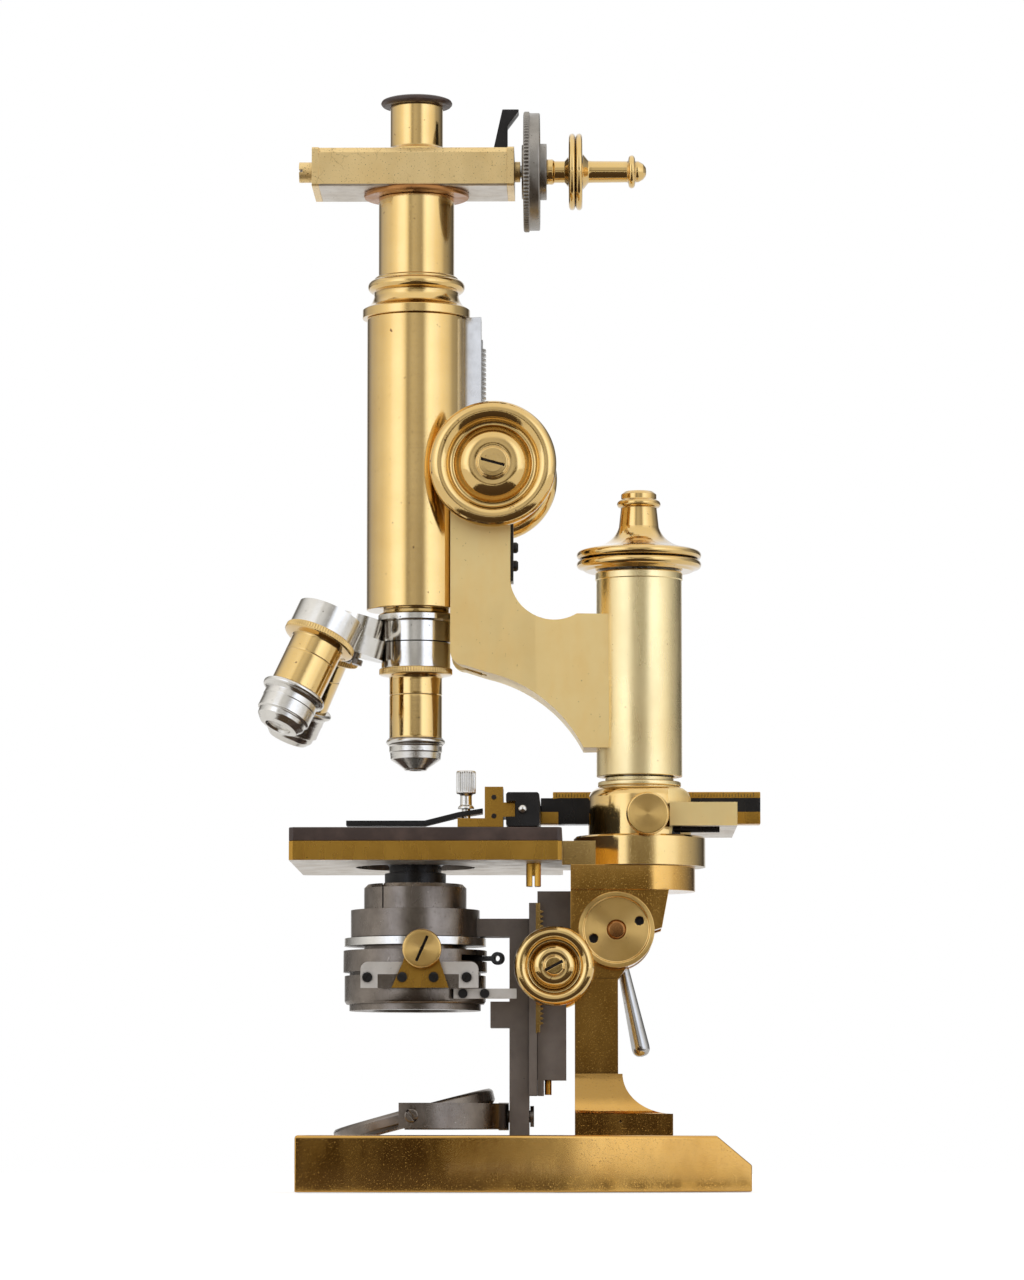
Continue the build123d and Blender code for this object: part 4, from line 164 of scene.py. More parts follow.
def turned(name, outline, place, closed=False, soft=0.25, around=128, step=None, reliefs=()):
    """A lathe surface: point = O + r cos(a) U + r sin(a) V + h W, for (r, h) on a rounded outline.

    Each relief gives a (dr, dh), worked out from the whole arrays of r, h and angle a, to be added.
    """
    origin, way = place
    across, up, along = place_axes(way)
    line = soften(outline, soft, closed) if soft else np.asarray(outline, float)
    if step:
        line = refine(line, step, closed)
    angle = np.linspace(0, 2 * math.pi, around, endpoint=False)[None, :]
    r, h = line[:, 0:1] + 0 * angle, line[:, 1:2] + 0 * angle
    moves = [relief(r, h, angle + 0 * r) for relief in reliefs]
    r, h = r + sum(dr for dr, _ in moves), h + sum(dh for _, dh in moves)
    points = (
        np.array(origin)
        + (r * np.cos(angle))[..., None] * across
        + (r * np.sin(angle))[..., None] * up
        + h[..., None] * along
    )
    run = np.concatenate([[0], np.cumsum(np.linalg.norm(np.diff(line, axis=0), axis=1))])
    run = np.append(run, run[-1] + 1.0)
    mean = max(1.0, float(line[:, 0].mean()))
    return surface(name, points, closed, True, (run, np.linspace(0, 2 * math.pi * mean, around + 1)))


def bead(radius, height, thick, steps=12, sweep=(-90, 90)):
    """Half-round outline: (R - t/2 + t/2 cos a, h + t/2 sin a), for a sweep of angles."""
    a = np.radians(np.linspace(sweep[0], sweep[1], steps))
    half = thick / 2
    return [tuple(p) for p in np.stack([radius - half + half * np.cos(a), height + half * np.sin(a)], 1)]


def curve(start, bend, end, steps=14):
    """Quadratic curve (1-t)^2 A + 2t(1-t) B + t^2 C between two outline points."""
    t = np.linspace(0, 1, steps)[:, None]
    a, b, c = (np.array(x, float)[None] for x in (start, bend, end))
    return [tuple(p) for p in (1 - t) ** 2 * a + 2 * t * (1 - t) * b + t**2 * c]


def milled(low, high, count, depth, radius):
    """Relief of a straight-milled edge: r falls by depth (1 - |cos(n a / 2)|) between two heights."""
    fade, rim = 0.15, 0.6  # how soon the teeth end at both heights, and how far in they reach

    def relief(r, h, a):
        band = np.clip((h - low) / fade, 0, 1) * np.clip((high - h) / fade, 0, 1) * (r > radius - rim)
        return -depth * band * (1 - np.abs(np.cos(count * a / 2))), 0 * r

    return relief


def slotted(top, width, depth, turn_deg, reach=99.0):
    """Relief of a screwdriver slot: h falls by the depth where |x sin b - y cos b| < width / 2."""
    turn = math.radians(turn_deg)
    wall, crown = 0.08, 0.35  # the slot's wall from edge to floor, and how far down the top reaches

    def relief(r, h, a):
        off = np.abs(r * np.cos(a) * math.sin(turn) - r * np.sin(a) * math.cos(turn))
        inside = np.clip((width / 2 - off) / wall + 0.5, 0, 1) * (h > top - crown) * (r < reach)
        return 0 * r, -depth * inside

    return relief


def eased_copy(node, width, cuts=()):
    """A CAD node's own solid with merged facets and a narrow bevel on its sharp edges.

    Each cut, an axis number and a place in mm, divides the faces there, so a finish can end at it.
    """
    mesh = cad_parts[node].data.copy()
    mesh.name = f"{node}_eased"
    work = bmesh.new()
    work.from_mesh(mesh)
    bmesh.ops.remove_doubles(work, verts=work.verts, dist=SAME_POINT)
    bmesh.ops.recalc_face_normals(work, faces=work.faces)
    bmesh.ops.dissolve_limit(work, angle_limit=math.radians(0.5), verts=work.verts, edges=work.edges)
    for axis, place in cuts:
        way = np.eye(3)[axis]
        geom = [*work.verts, *work.edges, *work.faces]
        middle = way * place * MM
        bmesh.ops.bisect_plane(work, geom=geom, dist=SAME_POINT, plane_co=middle, plane_no=way)
    work.to_mesh(mesh)
    work.free()
    mesh.polygons.foreach_set("use_smooth", np.ones(len(mesh.polygons), bool))
    made = bpy.data.objects.new(f"{node}_eased", mesh)
    bpy.context.scene.collection.objects.link(made)
    ease = made.modifiers.new("eased edges", "BEVEL")
    ease.width, ease.segments, ease.limit_method = width * MM, 2, "ANGLE"
    ease.angle_limit, ease.harden_normals = math.radians(32), True
    weigh = made.modifiers.new("even shading", "WEIGHTED_NORMAL")
    weigh.keep_sharp = True
    return made


def coil(name, middle, radius, wire, low, high, turns):
    """A wire spring: the circle w/2 (cos v N + sin v B) carried along a helix C(t).

    C = (R cos a, R sin a, low + t (high - low)) with a = 2 pi n t. N points away from the axis, and
    B is square to N and to the helix's own way.
    """
    t = np.linspace(0, 1, turns * 24 + 1)[:, None]
    a, rise = 2 * math.pi * turns * t, (high - low) / (2 * math.pi * turns)
    out = np.concatenate([np.cos(a), np.sin(a), 0 * a], 1)
    way = np.concatenate([-radius * np.sin(a), radius * np.cos(a), 0 * a + rise], 1)
    square = np.cross(way / np.linalg.norm(way, axis=1, keepdims=True), out)
    line = np.array((middle[0], middle[1], low)) + out * radius + np.array((0, 0, high - low)) * t
    v = np.linspace(0, 2 * math.pi, 12, endpoint=False)[None, :, None]
    tube = line[:, None] + wire / 2 * (np.cos(v) * out[:, None] + np.sin(v) * square[:, None])
    ends = [np.repeat(line[k][None, None], 12, axis=1) for k in (0, -1)]
    points = np.concatenate([ends[0], tube, ends[1]])
    return surface(name, points, False, True, (np.arange(len(points) + 1.0), np.arange(13.0)))


def spun(piece):
    """Gives a turned piece's flat faces, seen from the front, the spun finish."""
    return also(piece, spun_face(), lambda x, y, z, n: -n[1] > 0.93)


def ruling(name, low, high, front, rise, step=1.0, width=0.16):
    """Upright divisions on a front face, boxes at x_k = low + k s as one mesh, every fifth one full."""
    short, thick = 0.62, 0.1  # the height of the lines between, as a share, and how deep they go in
    x = np.arange(low, high, step)[:, None]
    tall = np.where(np.arange(x.size)[:, None] % 5 == 0, rise[1], rise[0] + short * (rise[1] - rise[0]))
    side = np.array((-1, 1, 1, -1, -1, 1, 1, -1)) * width / 2
    deep = np.array((0, 0, 1, 1, 0, 0, 1, 1)) * thick
    up = np.array((0, 0, 0, 0, 1, 1, 1, 1))
    points = np.stack([x + side, 0 * x + front + deep, rise[0] + (tall - rise[0]) * up], -1)
    faces = np.array(((0, 3, 2, 1), (4, 5, 6, 7), (0, 1, 5, 4), (1, 2, 6, 5), (2, 3, 7, 6), (3, 0, 4, 7)))
    faces = (faces[None] + 8 * np.arange(x.size)[:, None, None]).reshape(-1, 4)
    mesh = bpy.data.meshes.new(name)
    mesh.from_pydata((points.reshape(-1, 3) * MM).tolist(), [], faces.tolist())
    return close_up(name, mesh)


def also(piece, material, test):
    """Gives another material to the faces whose middle (x, y, z), in mm, and normal n pass a test."""
    faces = piece.data.polygons
    middle, way, given = np.empty(len(faces) * 3), np.empty(len(faces) * 3), np.empty(len(faces), int)
    faces.foreach_get("center", middle)
    faces.foreach_get("normal", way)
    faces.foreach_get("material_index", given)
    piece.data.materials.append(material)
    chosen = test(*(middle.reshape(-1, 3) / MM).T, way.reshape(-1, 3).T)
    faces.foreach_set("material_index", np.where(chosen, len(piece.data.materials) - 1, given))
    return piece


def kerf(piece, place, top, width, turn_deg, reach=99.0):
    """Paints shade into a screw's slot: its floor and walls, the faces below the top within the slot's width,
    go near-black, as shade with old dirt.
    """
    origin, way = place
    across, up, along = place_axes(way)
    turn = math.radians(turn_deg)
    margin, deepest = 0.12, 2.0

    def inside(x, y, z, n):
        local = np.stack([x, y, z], -1) - np.array(origin)
        deep = top - local @ along
        off = np.abs(local @ across * math.sin(turn) - local @ up * math.cos(turn))
        far = np.hypot(local @ across, local @ up)
        return (deep > margin) & (deep < deepest) & (off < width / 2 + margin) & (far < reach)

    return also(piece, slot_shade_and_grime(), inside)


# --------------------------------------------------------------- materials
# Dark colours that creases take on: painted shade, with some dirt.
BROWN_SHADE_AND_GRIME = "#3A220C"
GREY_SHADE_AND_GRIME = "#2A231D"
# A Map Range node's inputs 0 to 4 are its value, its two limits and what it gives at them.
SMOOTH = {"interpolation_type": "SMOOTHSTEP"}


def linear(code):
    """Scene-linear colour, with alpha 1, of an sRGB hex code such as #C9A45C."""
    s = np.array([int(code[k : k + 2], 16) for k in (1, 3, 5)]) / 255
    return (*np.where(s <= 0.04045, s / 12.92, ((s + 0.055) / 1.055) ** 2.4).tolist(), 1.0)


def add(tree, kind, inputs=None, **settings):
    """Adds a node with its settings, and for each input a value or the output that feeds it."""
    made = tree.nodes.new(f"ShaderNode{kind}")
    for key, value in settings.items():
        setattr(made, key, value)
    for key, value in (inputs or {}).items():
        if isinstance(value, bpy.types.NodeSocket):
            tree.links.new(value, made.inputs[key])
        else:
            made.inputs[key].default_value = value
    return made.outputs


def fresh(name):
    """A new material without nodes, its tree, and its Object and UV coordinates."""
    material = bpy.data.materials.new(name)
    material.use_nodes = True
    tree = material.node_tree
    tree.nodes.clear()
    place = add(tree, "TexCoord")
    return material, tree, place["Object"], place["UV"]


def skin(material, inputs):
    """Ends a material with its shader, the shader's values and feeds, and the output."""
    shader = add(material.node_tree, "BsdfPrincipled", inputs)
    add(material.node_tree, "OutputMaterial", {"Surface": shader["BSDF"]})
    return material


def patches(tree, vector, size_mm, limits, ends=(0.0, 1.0), detail=3.0, rough=0.55, stretch=None):
    """Soft-edged patches of about a size in mm, longer where the stretch is under 1.

    A noise goes through a smooth step that starts and stops at the two limits.
    """
    if stretch:
        vector = add(tree, "Mapping", {"Vector": vector, "Scale": stretch})["Vector"]
    inputs = {"Vector": vector, "Scale": 1 / size_mm / MM, "Detail": detail, "Roughness": rough}
    cloud = add(tree, "TexNoise", inputs)["Fac"]
    inputs = {0: cloud, 1: limits[0], 2: limits[1], 3: ends[0], 4: ends[1]}
    return add(tree, "MapRange", inputs, **SMOOTH)["Result"]


def hair_cracks(tree, here, strength):
    """Thin lines between uneven cells 7 mm across, pushed about by up to 1.2 mm, here and there."""
    inputs = {"Vector": here, "Scale": 1 / 2.2 / MM, "Detail": 3.0}
    push = add(tree, "TexNoise", inputs)["Color"]
    push = add(tree, "VectorMath", {0: push, 1: (0.5, 0.5, 0.5)}, operation="SUBTRACT")["Vector"]
    push = add(tree, "VectorMath", {0: push, "Scale": 2.4 * MM}, operation="SCALE")["Vector"]
    moved = add(tree, "VectorMath", {0: here, 1: push}, operation="ADD")["Vector"]
    inputs = {"Vector": moved, "Scale": 1 / 7.0 / MM, "Randomness": 1.0}
    edge = add(tree, "TexVoronoi", inputs, feature="DISTANCE_TO_EDGE")["Distance"]
    line = add(tree, "MapRange", {0: edge, 1: 0.0, 2: 0.022, 3: 1.0, 4: 0.0}, **SMOOTH)["Result"]
    places = patches(tree, here, 9.0, (0.52, 0.58), detail=2.0)
    line = add(tree, "Math", {0: line, 1: places}, operation="MULTIPLY")[0]
    return add(tree, "Math", {0: line, 1: strength}, operation="MULTIPLY")[0]


@cache
def metal(
    name, clean, toned, spot, rough, tone_mm, spots, tone_share=0.5, lathe=0.0, pits=0.0,
    coat=0.0, cracks=0.0, metallic=1.0, grime=BROWN_SHADE_AND_GRIME, fan=0.0,
):
    """Metal with clouded tone, tarnish spots, painted shade and dirt in its creases, fine pits and turning
    marks.

    Rough is the roughness and its spread; spots are their size in mm and the noise level they
    start at. The grain is 0.5 mm and the smears are 9 mm. Turning marks are a noise 0.12 mm along
    the outline and 40 mm round the axis, read from the piece's own UV map in mm. A fan stretches
    each light across those marks.
    """
    material, tree, here, run = fresh(name)
    tone_limits = (0.5 - 0.5 * tone_share, 0.5 + 0.62 * (1 - tone_share) + 0.12)
    layers = [
        (patches(tree, here, tone_mm, tone_limits, detail=4.0, rough=0.6), toned),
        (patches(tree, here, spots[0], (spots[1], spots[1] + 0.09), detail=2.0, rough=0.5), spot),
    ]
    # Painted shade: faces that ambient occlusion finds within 1.6 mm of a crease take the dark colour, which
    # also stands for dirt.
    crease = add(tree, "AmbientOcclusion", {"Distance": 1.6 * MM}, samples=4, only_local=True)["AO"]
    inputs = {0: crease, 1: 0.35, 2: 0.85, 3: 0.85, 4: 0.0}
    layers.append((add(tree, "MapRange", inputs, **SMOOTH)["Result"], grime))
    if cracks:
        layers.append((hair_cracks(tree, here, cracks), spot))
    colour = linear(clean)
    for share, over in layers:
        inputs = {0: share, 6: colour, 7: linear(over)}
        colour = add(tree, "Mix", inputs, data_type="RGBA")[2]

    inputs = {"Vector": here, "Scale": 1 / 0.5 / MM, "Detail": 2.0, "Roughness": 0.6}
    fine = add(tree, "TexNoise", inputs)["Fac"]
    heights = []
    if lathe:
        along = add(tree, "Mapping", {"Vector": run, "Scale": (0.008, 0.000025, 1.0)})["Vector"]
        inputs = {"Vector": along, "Scale": 1000.0, "Detail": 2.0, "Roughness": 0.7}
        marks = add(tree, "TexNoise", inputs)["Fac"]
        heights.append(add(tree, "Math", {0: marks, 1: lathe}, operation="MULTIPLY")[0])
    if pits:
        inputs = {0: fine, 1: 0.60, 2: 0.78, 3: 0.0, 4: -pits}
        heights.append(add(tree, "MapRange", inputs, **SMOOTH)["Result"])
    heights.append(add(tree, "Math", {0: fine, 1: 0.12}, operation="MULTIPLY")[0])
    height = heights[0]
    for more in heights[1:]:
        height = add(tree, "Math", {0: height, 1: more}, operation="ADD")[0]
    bump = add(tree, "Bump", {"Strength": 0.35, "Distance": 0.06 * MM, "Height": height})["Normal"]

    level, spread = rough
    ends = (level - spread / 2, level + spread)
    gloss = patches(tree, here, 9.0, (0.35, 0.7), ends, rough=0.6, stretch=(1.0, 1.0, 0.35))
    inputs = {"Base Color": colour, "Metallic": metallic, "Roughness": gloss, "Normal": bump}
    if fan:
        way = add(tree, "Tangent", direction_type="UV_MAP", uv_map="run")["Tangent"]
        inputs |= {"Anisotropic": fan, "Tangent": way}
    if coat:
        inputs |= {"Coat Weight": coat, "Coat Roughness": 0.05, "Coat IOR": 1.5}
    return skin(material, inputs)


@cache
def plastic(name, base, worn, roughness, spread):
    """Near-black stuff, faded in 14 mm clouds that are also rougher, with a 0.4 mm grain."""
    material, tree, here, _ = fresh(name)
    cloud = patches(tree, here, 14.0, (0.4, 0.68), detail=4.0, rough=0.65)
    inputs = {0: cloud, 6: linear(base), 7: linear(worn)}
    colour = add(tree, "Mix", inputs, data_type="RGBA")[2]
    inputs = {0: cloud, 1: 0.0, 2: 1.0, 3: roughness, 4: roughness + spread}
    gloss = add(tree, "MapRange", inputs, **SMOOTH)["Result"]
    inputs = {"Vector": here, "Scale": 1 / 0.4 / MM, "Detail": 3.0, "Roughness": 0.55}
    fine = add(tree, "TexNoise", inputs)["Fac"]
    bump = add(tree, "Bump", {"Strength": 0.3, "Distance": 0.05 * MM, "Height": fine})["Normal"]
    return skin(material, {"Base Color": colour, "Roughness": gloss, "Normal": bump})


def lacquered_brass():
    """Rolled and turned brass under shellac lacquer: warm gold, mirror-like with a soft haze."""
    return metal(
        "lacquered brass", "#E8C47C", "#DCB468", "#7A5426", (0.09, 0.05), 26.0, (1.5, 0.70),
        lathe=0.35, pits=0.5, coat=1.0,
    )


def satin_brass():
    """Brass lacquered over a satin ground: paler, with wide soft lights, as on the limb."""
    return metal(
        "satin lacquered brass", "#FBE6AE", "#F2D69A", "#8F6D3C", (0.27, 0.07), 26.0, (1.3, 0.72),
        lathe=0.8, pits=0.6, coat=0.3,
    )


def cast_brass():
    """Filed and polished castings: the same gold, a little duller, with fine pits."""
    return metal(
        "polished brass casting", "#FFE4A2", "#F8D68E", "#7A5828", (0.55, 0.10), 30.0, (1.0, 0.72),
        pits=0.9, coat=0.3,
    )


def dark_brass():
    """Brass whose lacquer has browned, as on the stage's edge."""
    return metal(
        "browned brass", "#C99A44", "#B98836", "#4A3212", (0.26, 0.08), 18.0, (0.8, 0.71),
        tone_share=0.45, pits=1.0,
    )


def foot_brass():
    """Heavy casting under lacquer that has gone the colour of strong tea."""
    return metal(
        "tea-brown lacquered brass", "#DAAA58", "#CA9440", "#3C270C", (0.10, 0.05), 24.0, (0.7, 0.72),
        tone_share=0.45, pits=1.0, coat=0.5,
    )


def turned_knob():
    """Face-turned brass: fine rings round the axis that blur each light a little."""
    return metal(
        "face-turned brass", "#F0CA80", "#DCB264", "#6B4A1E", (0.15, 0.08), 14.0, (0.9, 0.72),
        lathe=1.6, pits=0.4, coat=0.5,
    )


def spun_face():
    """The flat end of a turned piece: rings left by the tool spread each light into a fan."""
    return metal(
        "spun brass face", "#EBC47A", "#DCB264", "#6B4A1E", (0.44, 0.06), 14.0, (0.9, 0.72),
        lathe=1.6, pits=0.4, fan=0.95,
    )


def pale_brass():
    """Old gilded brass, pale and pitted, with hair cracks in its lacquer."""
    return metal(
        "pale pitted brass", "#F4D698", "#E8C684", "#5B3F1C", (0.42, 0.08), 10.0, (0.5, 0.625),
        pits=2.8, cracks=0.3, coat=0.3,
    )


def copper_brass():
    """Brass worn to its red tone where fingers take the lacquer off."""
    return metal(
        "reddened brass", "#B5804A", "#8C5A33", "#3D2412", (0.30, 0.12), 9.0, (1.2, 0.66), pits=1.0
    )


def nickel():
    """Nickel plate on turned brass: white, bright, faintly yellow and clouded."""
    return metal(
        "nickel plate", "#E8E4DC", "#CFC9BE", "#5E564B", (0.15, 0.12), 9.0, (1.1, 0.70),
        lathe=1.2, pits=0.6, grime=GREY_SHADE_AND_GRIME,
    )


def frosted_nickel():
    """Nickel plate over a bead-blasted face: silver white with a dull even sheen."""
    return metal(
        "frosted nickel plate", "#D2CBC1", "#BDB5AA", "#5E564B", (0.48, 0.12), 6.0, (0.8, 0.70),
        pits=0.8, metallic=0.4, grime=GREY_SHADE_AND_GRIME,
    )


def bare_brass():
    """Undersides that were never lacquered: grey-white, dull, finely scratched."""
    return metal(
        "unlacquered underside", "#DAD2C6", "#C2B8AA", "#6B6052", (0.38, 0.12), 5.0, (0.6, 0.66),
        pits=1.2, grime=GREY_SHADE_AND_GRIME,
    )


def bright_steel():
    """Polished steel rod: grey-white with long soft streaks."""
    return metal(
        "polished steel", "#C9C7C3", "#A9A6A1", "#5A554E", (0.18, 0.10), 8.0, (1.0, 0.72),
        grime=GREY_SHADE_AND_GRIME,
    )


def grey_steel():
    """Blued steel gone grey, as on the divided drum."""
    return metal(
        "grey steel", "#AAA49B", "#8A847C", "#37332F", (0.32, 0.14), 6.0, (0.8, 0.68),
        lathe=1.0, pits=0.8, grime=GREY_SHADE_AND_GRIME,
    )


def bronzed():
    """Chemically blackened brass: dark brown-grey, satin, rubbed bright in places."""
    return metal(
        "bronzed brass", "#8C8278", "#6A6158", "#B4AA9E", (0.26, 0.12), 7.0, (0.9, 0.70),
        lathe=0.8, pits=2.0, grime=GREY_SHADE_AND_GRIME,
    )


def bronzed_flat():
    """Blackened brass filed flat: mid grey-brown with a dull even sheen."""
    return metal(
        "filed bronzed brass", "#7A6E63", "#685D53", "#3A332D", (0.55, 0.12), 7.0, (0.9, 0.72),
        pits=1.6, metallic=0.3, grime=GREY_SHADE_AND_GRIME,
    )


def black_lacquer():
    """Black lacquer over metal, worn grey along its length."""
    return metal(
        "black lacquer", "#1A1817", "#2A2725", "#6E675E", (0.30, 0.15), 6.0, (0.8, 0.72),
        pits=0.6, metallic=0.35, grime=GREY_SHADE_AND_GRIME,
    )


def silvered_mirror():
    """Back-silvered glass: near perfect mirror, a little foxed towards grey."""
    return metal("silvered glass", "#D9DDDC", "#C2C6C4", "#7C7A74", (0.04, 0.03), 14.0, (1.0, 0.74))


def ebonite():
    """Ebonite, vulcanised rubber: chocolate black, satin, slightly faded."""
    return plastic("ebonite", "#3A2A22", "#4E3A2F", 0.38, 0.12)


def slot_shade_and_grime():
    """Painted shade in slots and holes, with old oil and dust packed in: nearly black, dull."""
    return plastic("slot grime", "#1C120A", "#2B1D12", 0.75, 0.1)


@cache
def lens_glass():
    """Crown glass lens: clear, a little smeared, with the dark of the tube behind it."""
    material, tree, here, _ = fresh("crown glass")
    smear = patches(tree, here, 3.0, (0.4, 0.7), (0.01, 0.05))
    colour = linear("#EEF4F2")
    return skin(material, {"Base Color": colour, "Roughness": smear, "IOR": 1.52, "Transmission Weight": 1.0})


# ----------------------------------------------------------------- pieces
def dress(piece, material, body, slot_name, *nodes):
    """Gives a made piece its material, its body and the CAD nodes it stands for; the slot name is not used."""
    piece.data.materials.clear()
    piece.data.materials.append(material)
    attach(piece, body)
    if nodes:
        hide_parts(*nodes)
    return piece


def eased(node, width, material, body, slot_name, cuts=()):
    """A dressed copy of a CAD node with eased edges, which stands for that node."""
    return dress(eased_copy(node, width, cuts), material, body, slot_name, node)


def lathe(name, material, body, slot_name, outline, place, node="", **shape):
    """A turned and dressed piece, which stands for the CAD node of its own name or for another one."""
    nodes = [] if node is None else [node or name]
    return dress(turned(name, outline, place, **shape), material, body, slot_name, *nodes)


def shifted(place, distance):
    """A place moved along its own axis, in mm."""
    origin, way = place
    return tuple(np.array(origin) + distance * np.array(way)), way


def keep(node, material):
    """A CAD node whose shape is right takes a better material."""
    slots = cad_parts[node].data.materials
    slots.clear()
    slots.append(material)


def sizes():
    """The sizes and colours that the panel shows."""
    return bpy.context.scene.microscope_finish


def gap_to(x, z, places):
    """Distance, in a front view, to the nearest of some (x, z) places, all in mm."""
    return np.min([np.hypot(x - place_x, z - place_z) for place_x, place_z in places], axis=0)


def off_axis(x, y, axis):
    """Distance in mm from an upright axis."""
    return np.hypot(x - axis[0][0], y - axis[0][1])


def sockets():
    """Places of the three objectives: an axis turned 0, 120 and 240 degrees about a leaning pivot.

    Rodrigues: d' = d cos t + (k x d) sin t + k (k . d)(1 - cos t), from the meeting point of the axes.
    """
    lean = math.radians(16.0)
    meeting = (-59.0, 0.0, 246.5)
    k = np.array((-math.sin(lean), 0.0, -math.cos(lean)))
    d = np.array((0.0, 0.0, -1.0))
    turns = np.radians([0.0, 120.0, 240.0])[:, None]
    ways = d * np.cos(turns) + np.cross(k, d) * np.sin(turns) + k * (k @ d) * (1 - np.cos(turns))
    return [(meeting, tuple(w)) for w in ways]


class MICROSCOPE_OT_foot(bpy.types.Operator):
    """Horseshoe foot and pillar: browned brass castings with eased edges"""

    bl_idname = "microscope.foot"
    bl_label = "Foot and Pillar"

    def execute(self, context):
        for node, width in (("horseshoe_foot", 0.7), ("pillar", 0.5)):
            eased(node, width, foot_brass(), "stand", "lacquered_brass")
        return {"FINISHED"}


class MICROSCOPE_OT_joint(bpy.types.Operator):
    """Inclination joint: face-turned cap with two spanner holes, red pin and clamp lever"""

    bl_idname = "microscope.joint"
    bl_label = "Inclination Joint"

    def execute(self, context):
        turn, pitch, bore, depth, wall = math.radians(111), 7.9, 1.3, 1.6, 0.15
        axis_x, _, axis_z = JOINT_FRONT[0]
        reach = np.array((pitch * math.sin(turn), -pitch * math.cos(turn)))
        holes = [np.array((axis_x, axis_z)) + side * reach for side in (-1, 1)]

        def drilled(r, h, a):
            gap = gap_to(axis_x - r * np.sin(a), axis_z + r * np.cos(a), holes)
            return 0 * r, -depth * np.clip((bore - gap) / wall + 0.5, 0, 1) * (h > 19.0)

        cap = spun(lathe(
            "joint_cap", turned_knob(), "bracket", "lacquered_brass",
            [(3.0, 17.3), (12.3, 17.3), (12.3, 20.5), (10.8, 20.5), (10.4, 19.9), (3.2, 19.9), (3.0, 19.6)],
            JOINT_FRONT, closed=True, soft=0.35, around=192, step=0.25, reliefs=[drilled],
        ))
        # Painted shade: the faces in the two spanner holes go near-black.
        also(cap, slot_shade_and_grime(), lambda x, y, z, n: (abs(y + 18.825) < 0.925) & (gap_to(x, z, holes) < 1.5))
        lathe(
            "joint_pin", copper_brass(), "bracket", "copper_brass",
            [(0, -24.1), (2.4, -24.1), (3.0, -23.5), (3.0, 19.9), (2.4, 20.5), (0, 20.5)],
            JOINT_FRONT, soft=0.3, node="inclination_axle",
        )
        lathe(
            "lever_eye", bright_steel(), "lever", "nickel",
            [(3.06, 17.6), (9.0, 17.6), (9.0, 22.6), (3.06, 22.6)],
            JOINT_REAR, closed=True, soft=0.8, node=None,
        )
        lean = math.radians(12.3)
        lathe(
            "lever_handle", bright_steel(), "lever", "nickel",
            [(0, 7.5), (1.7, 7.5), (1.8, 10.0), (3.0, 38.0), (2.85, 39.4), (1.8, 40.7), (0, 41.0)],
            ((axis_x, 20.1, axis_z), (math.sin(lean), 0.0, -math.cos(lean))), soft=0.8, around=64,
            node="clamp_lever",
        )
        return {"FINISHED"}


class MICROSCOPE_OT_stage(bpy.types.Operator):
    """Stage: brass plate and neck, ebonite top, bracket below and its slotted stop pin"""

    bl_idname = "microscope.stage"
    bl_label = "Stage and Bracket"

    def execute(self, context):
        eased("stage_bracket", 0.5, foot_brass(), "bracket", "lacquered_brass")
        plate = eased("stage_frame", 0.35, dark_brass(), "bracket", "lacquered_brass")
        # The flange round the post's seat, the underside, and the wall of the light hole.
        also(plate, lacquered_brass(), lambda x, y, z, n: (off_axis(x, y, LIMB_AXIS) > 20.0) & (x > -6.9))
        also(plate, bare_brass(), lambda x, y, z, n: n[2] < -0.5)
        also(plate, bronzed(), lambda x, y, z, n: (off_axis(x, y, TUBE_AXIS) < 21.0) & (abs(n[2]) < 0.5))
        eased("stage_cover", 0.35, ebonite(), "bracket", "ebonite")
        eased("stage_stop_pin", 0.2, dark_brass(), "bracket", "lacquered_brass")
        return {"FINISHED"}


class MICROSCOPE_OT_limb(bpy.types.Operator):
    """Limb: post, fine-focus cylinder, cranked arm and gib plate"""

    bl_idname = "microscope.limb"
    bl_label = "Limb and Arm"

    def execute(self, context):
        lathe(
            "limb_post", satin_brass(), "bracket", "lacquered_brass",
            [(4, 115.1), (13, 115.1), (13, 131.5), (13.35, 131.5), (13.6, 131.8), (13.6, 132.8),
             (13.35, 133.1), (11.2, 133.1), (11.2, 134.5), (4, 134.5)],
            LIMB_AXIS, closed=True, soft=0.15, around=160,
        )
        lathe(
            "limb_cylinder", satin_brass(), "limb", "lacquered_brass",
            [(11.7, 134.8), (14.0, 134.8), (14.0, 199.3), (14.3, 199.4), (14.3, 201.6), (14.0, 201.9),
             (2.56, 201.9), (2.56, 196.9), (11.7, 196.9)],
            LIMB_AXIS, closed=True, soft=0.25, around=160,
        )
        eased("limb_arm", 0.4, cast_brass(), "limb", "lacquered_brass")
        eased("gib_plate", 0.15, black_lacquer(), "limb", "nickel")
        lathe(
            "fine_focus_head", lacquered_brass(), "fine_head", "lacquered_brass",
            [(0, 202.3), (17.5, 202.3), (18.6, 202.9)]
            + bead(20.5, 204.55, 3.0, 10, (-80, 70)) + [(18.6, 206.1)]
            + bead(20.5, 207.65, 3.0, 10, (-70, 80)) + [(18.6, 209.4)]
            + curve((17.4, 209.6), (8.4, 211.0), (6.6, 217.0)) + [(5.9, 223.3)]
            + bead(7.2, 224.6, 2.6, 8, (-80, 80))
            + [(5.85, 226.2), (5.85, 227.8), (4.7, 228.8), (0, 228.8)],
            LIMB_AXIS, soft=0.2, around=192,
        )
        for node in ("focus_prism", "fine_focus_screw"):
            keep(node, bright_steel())
        # It stops 1.6 mm under the crown, because the cylinder comes down 1.5 mm over it.
        spring = coil("fine_spring", LIMB_AXIS[0], 5.2, 0.9, 184.5, 194.8, 4)
        dress(spring, bright_steel(), "bracket", "steel", "focus_spring")
        return {"FINISHED"}


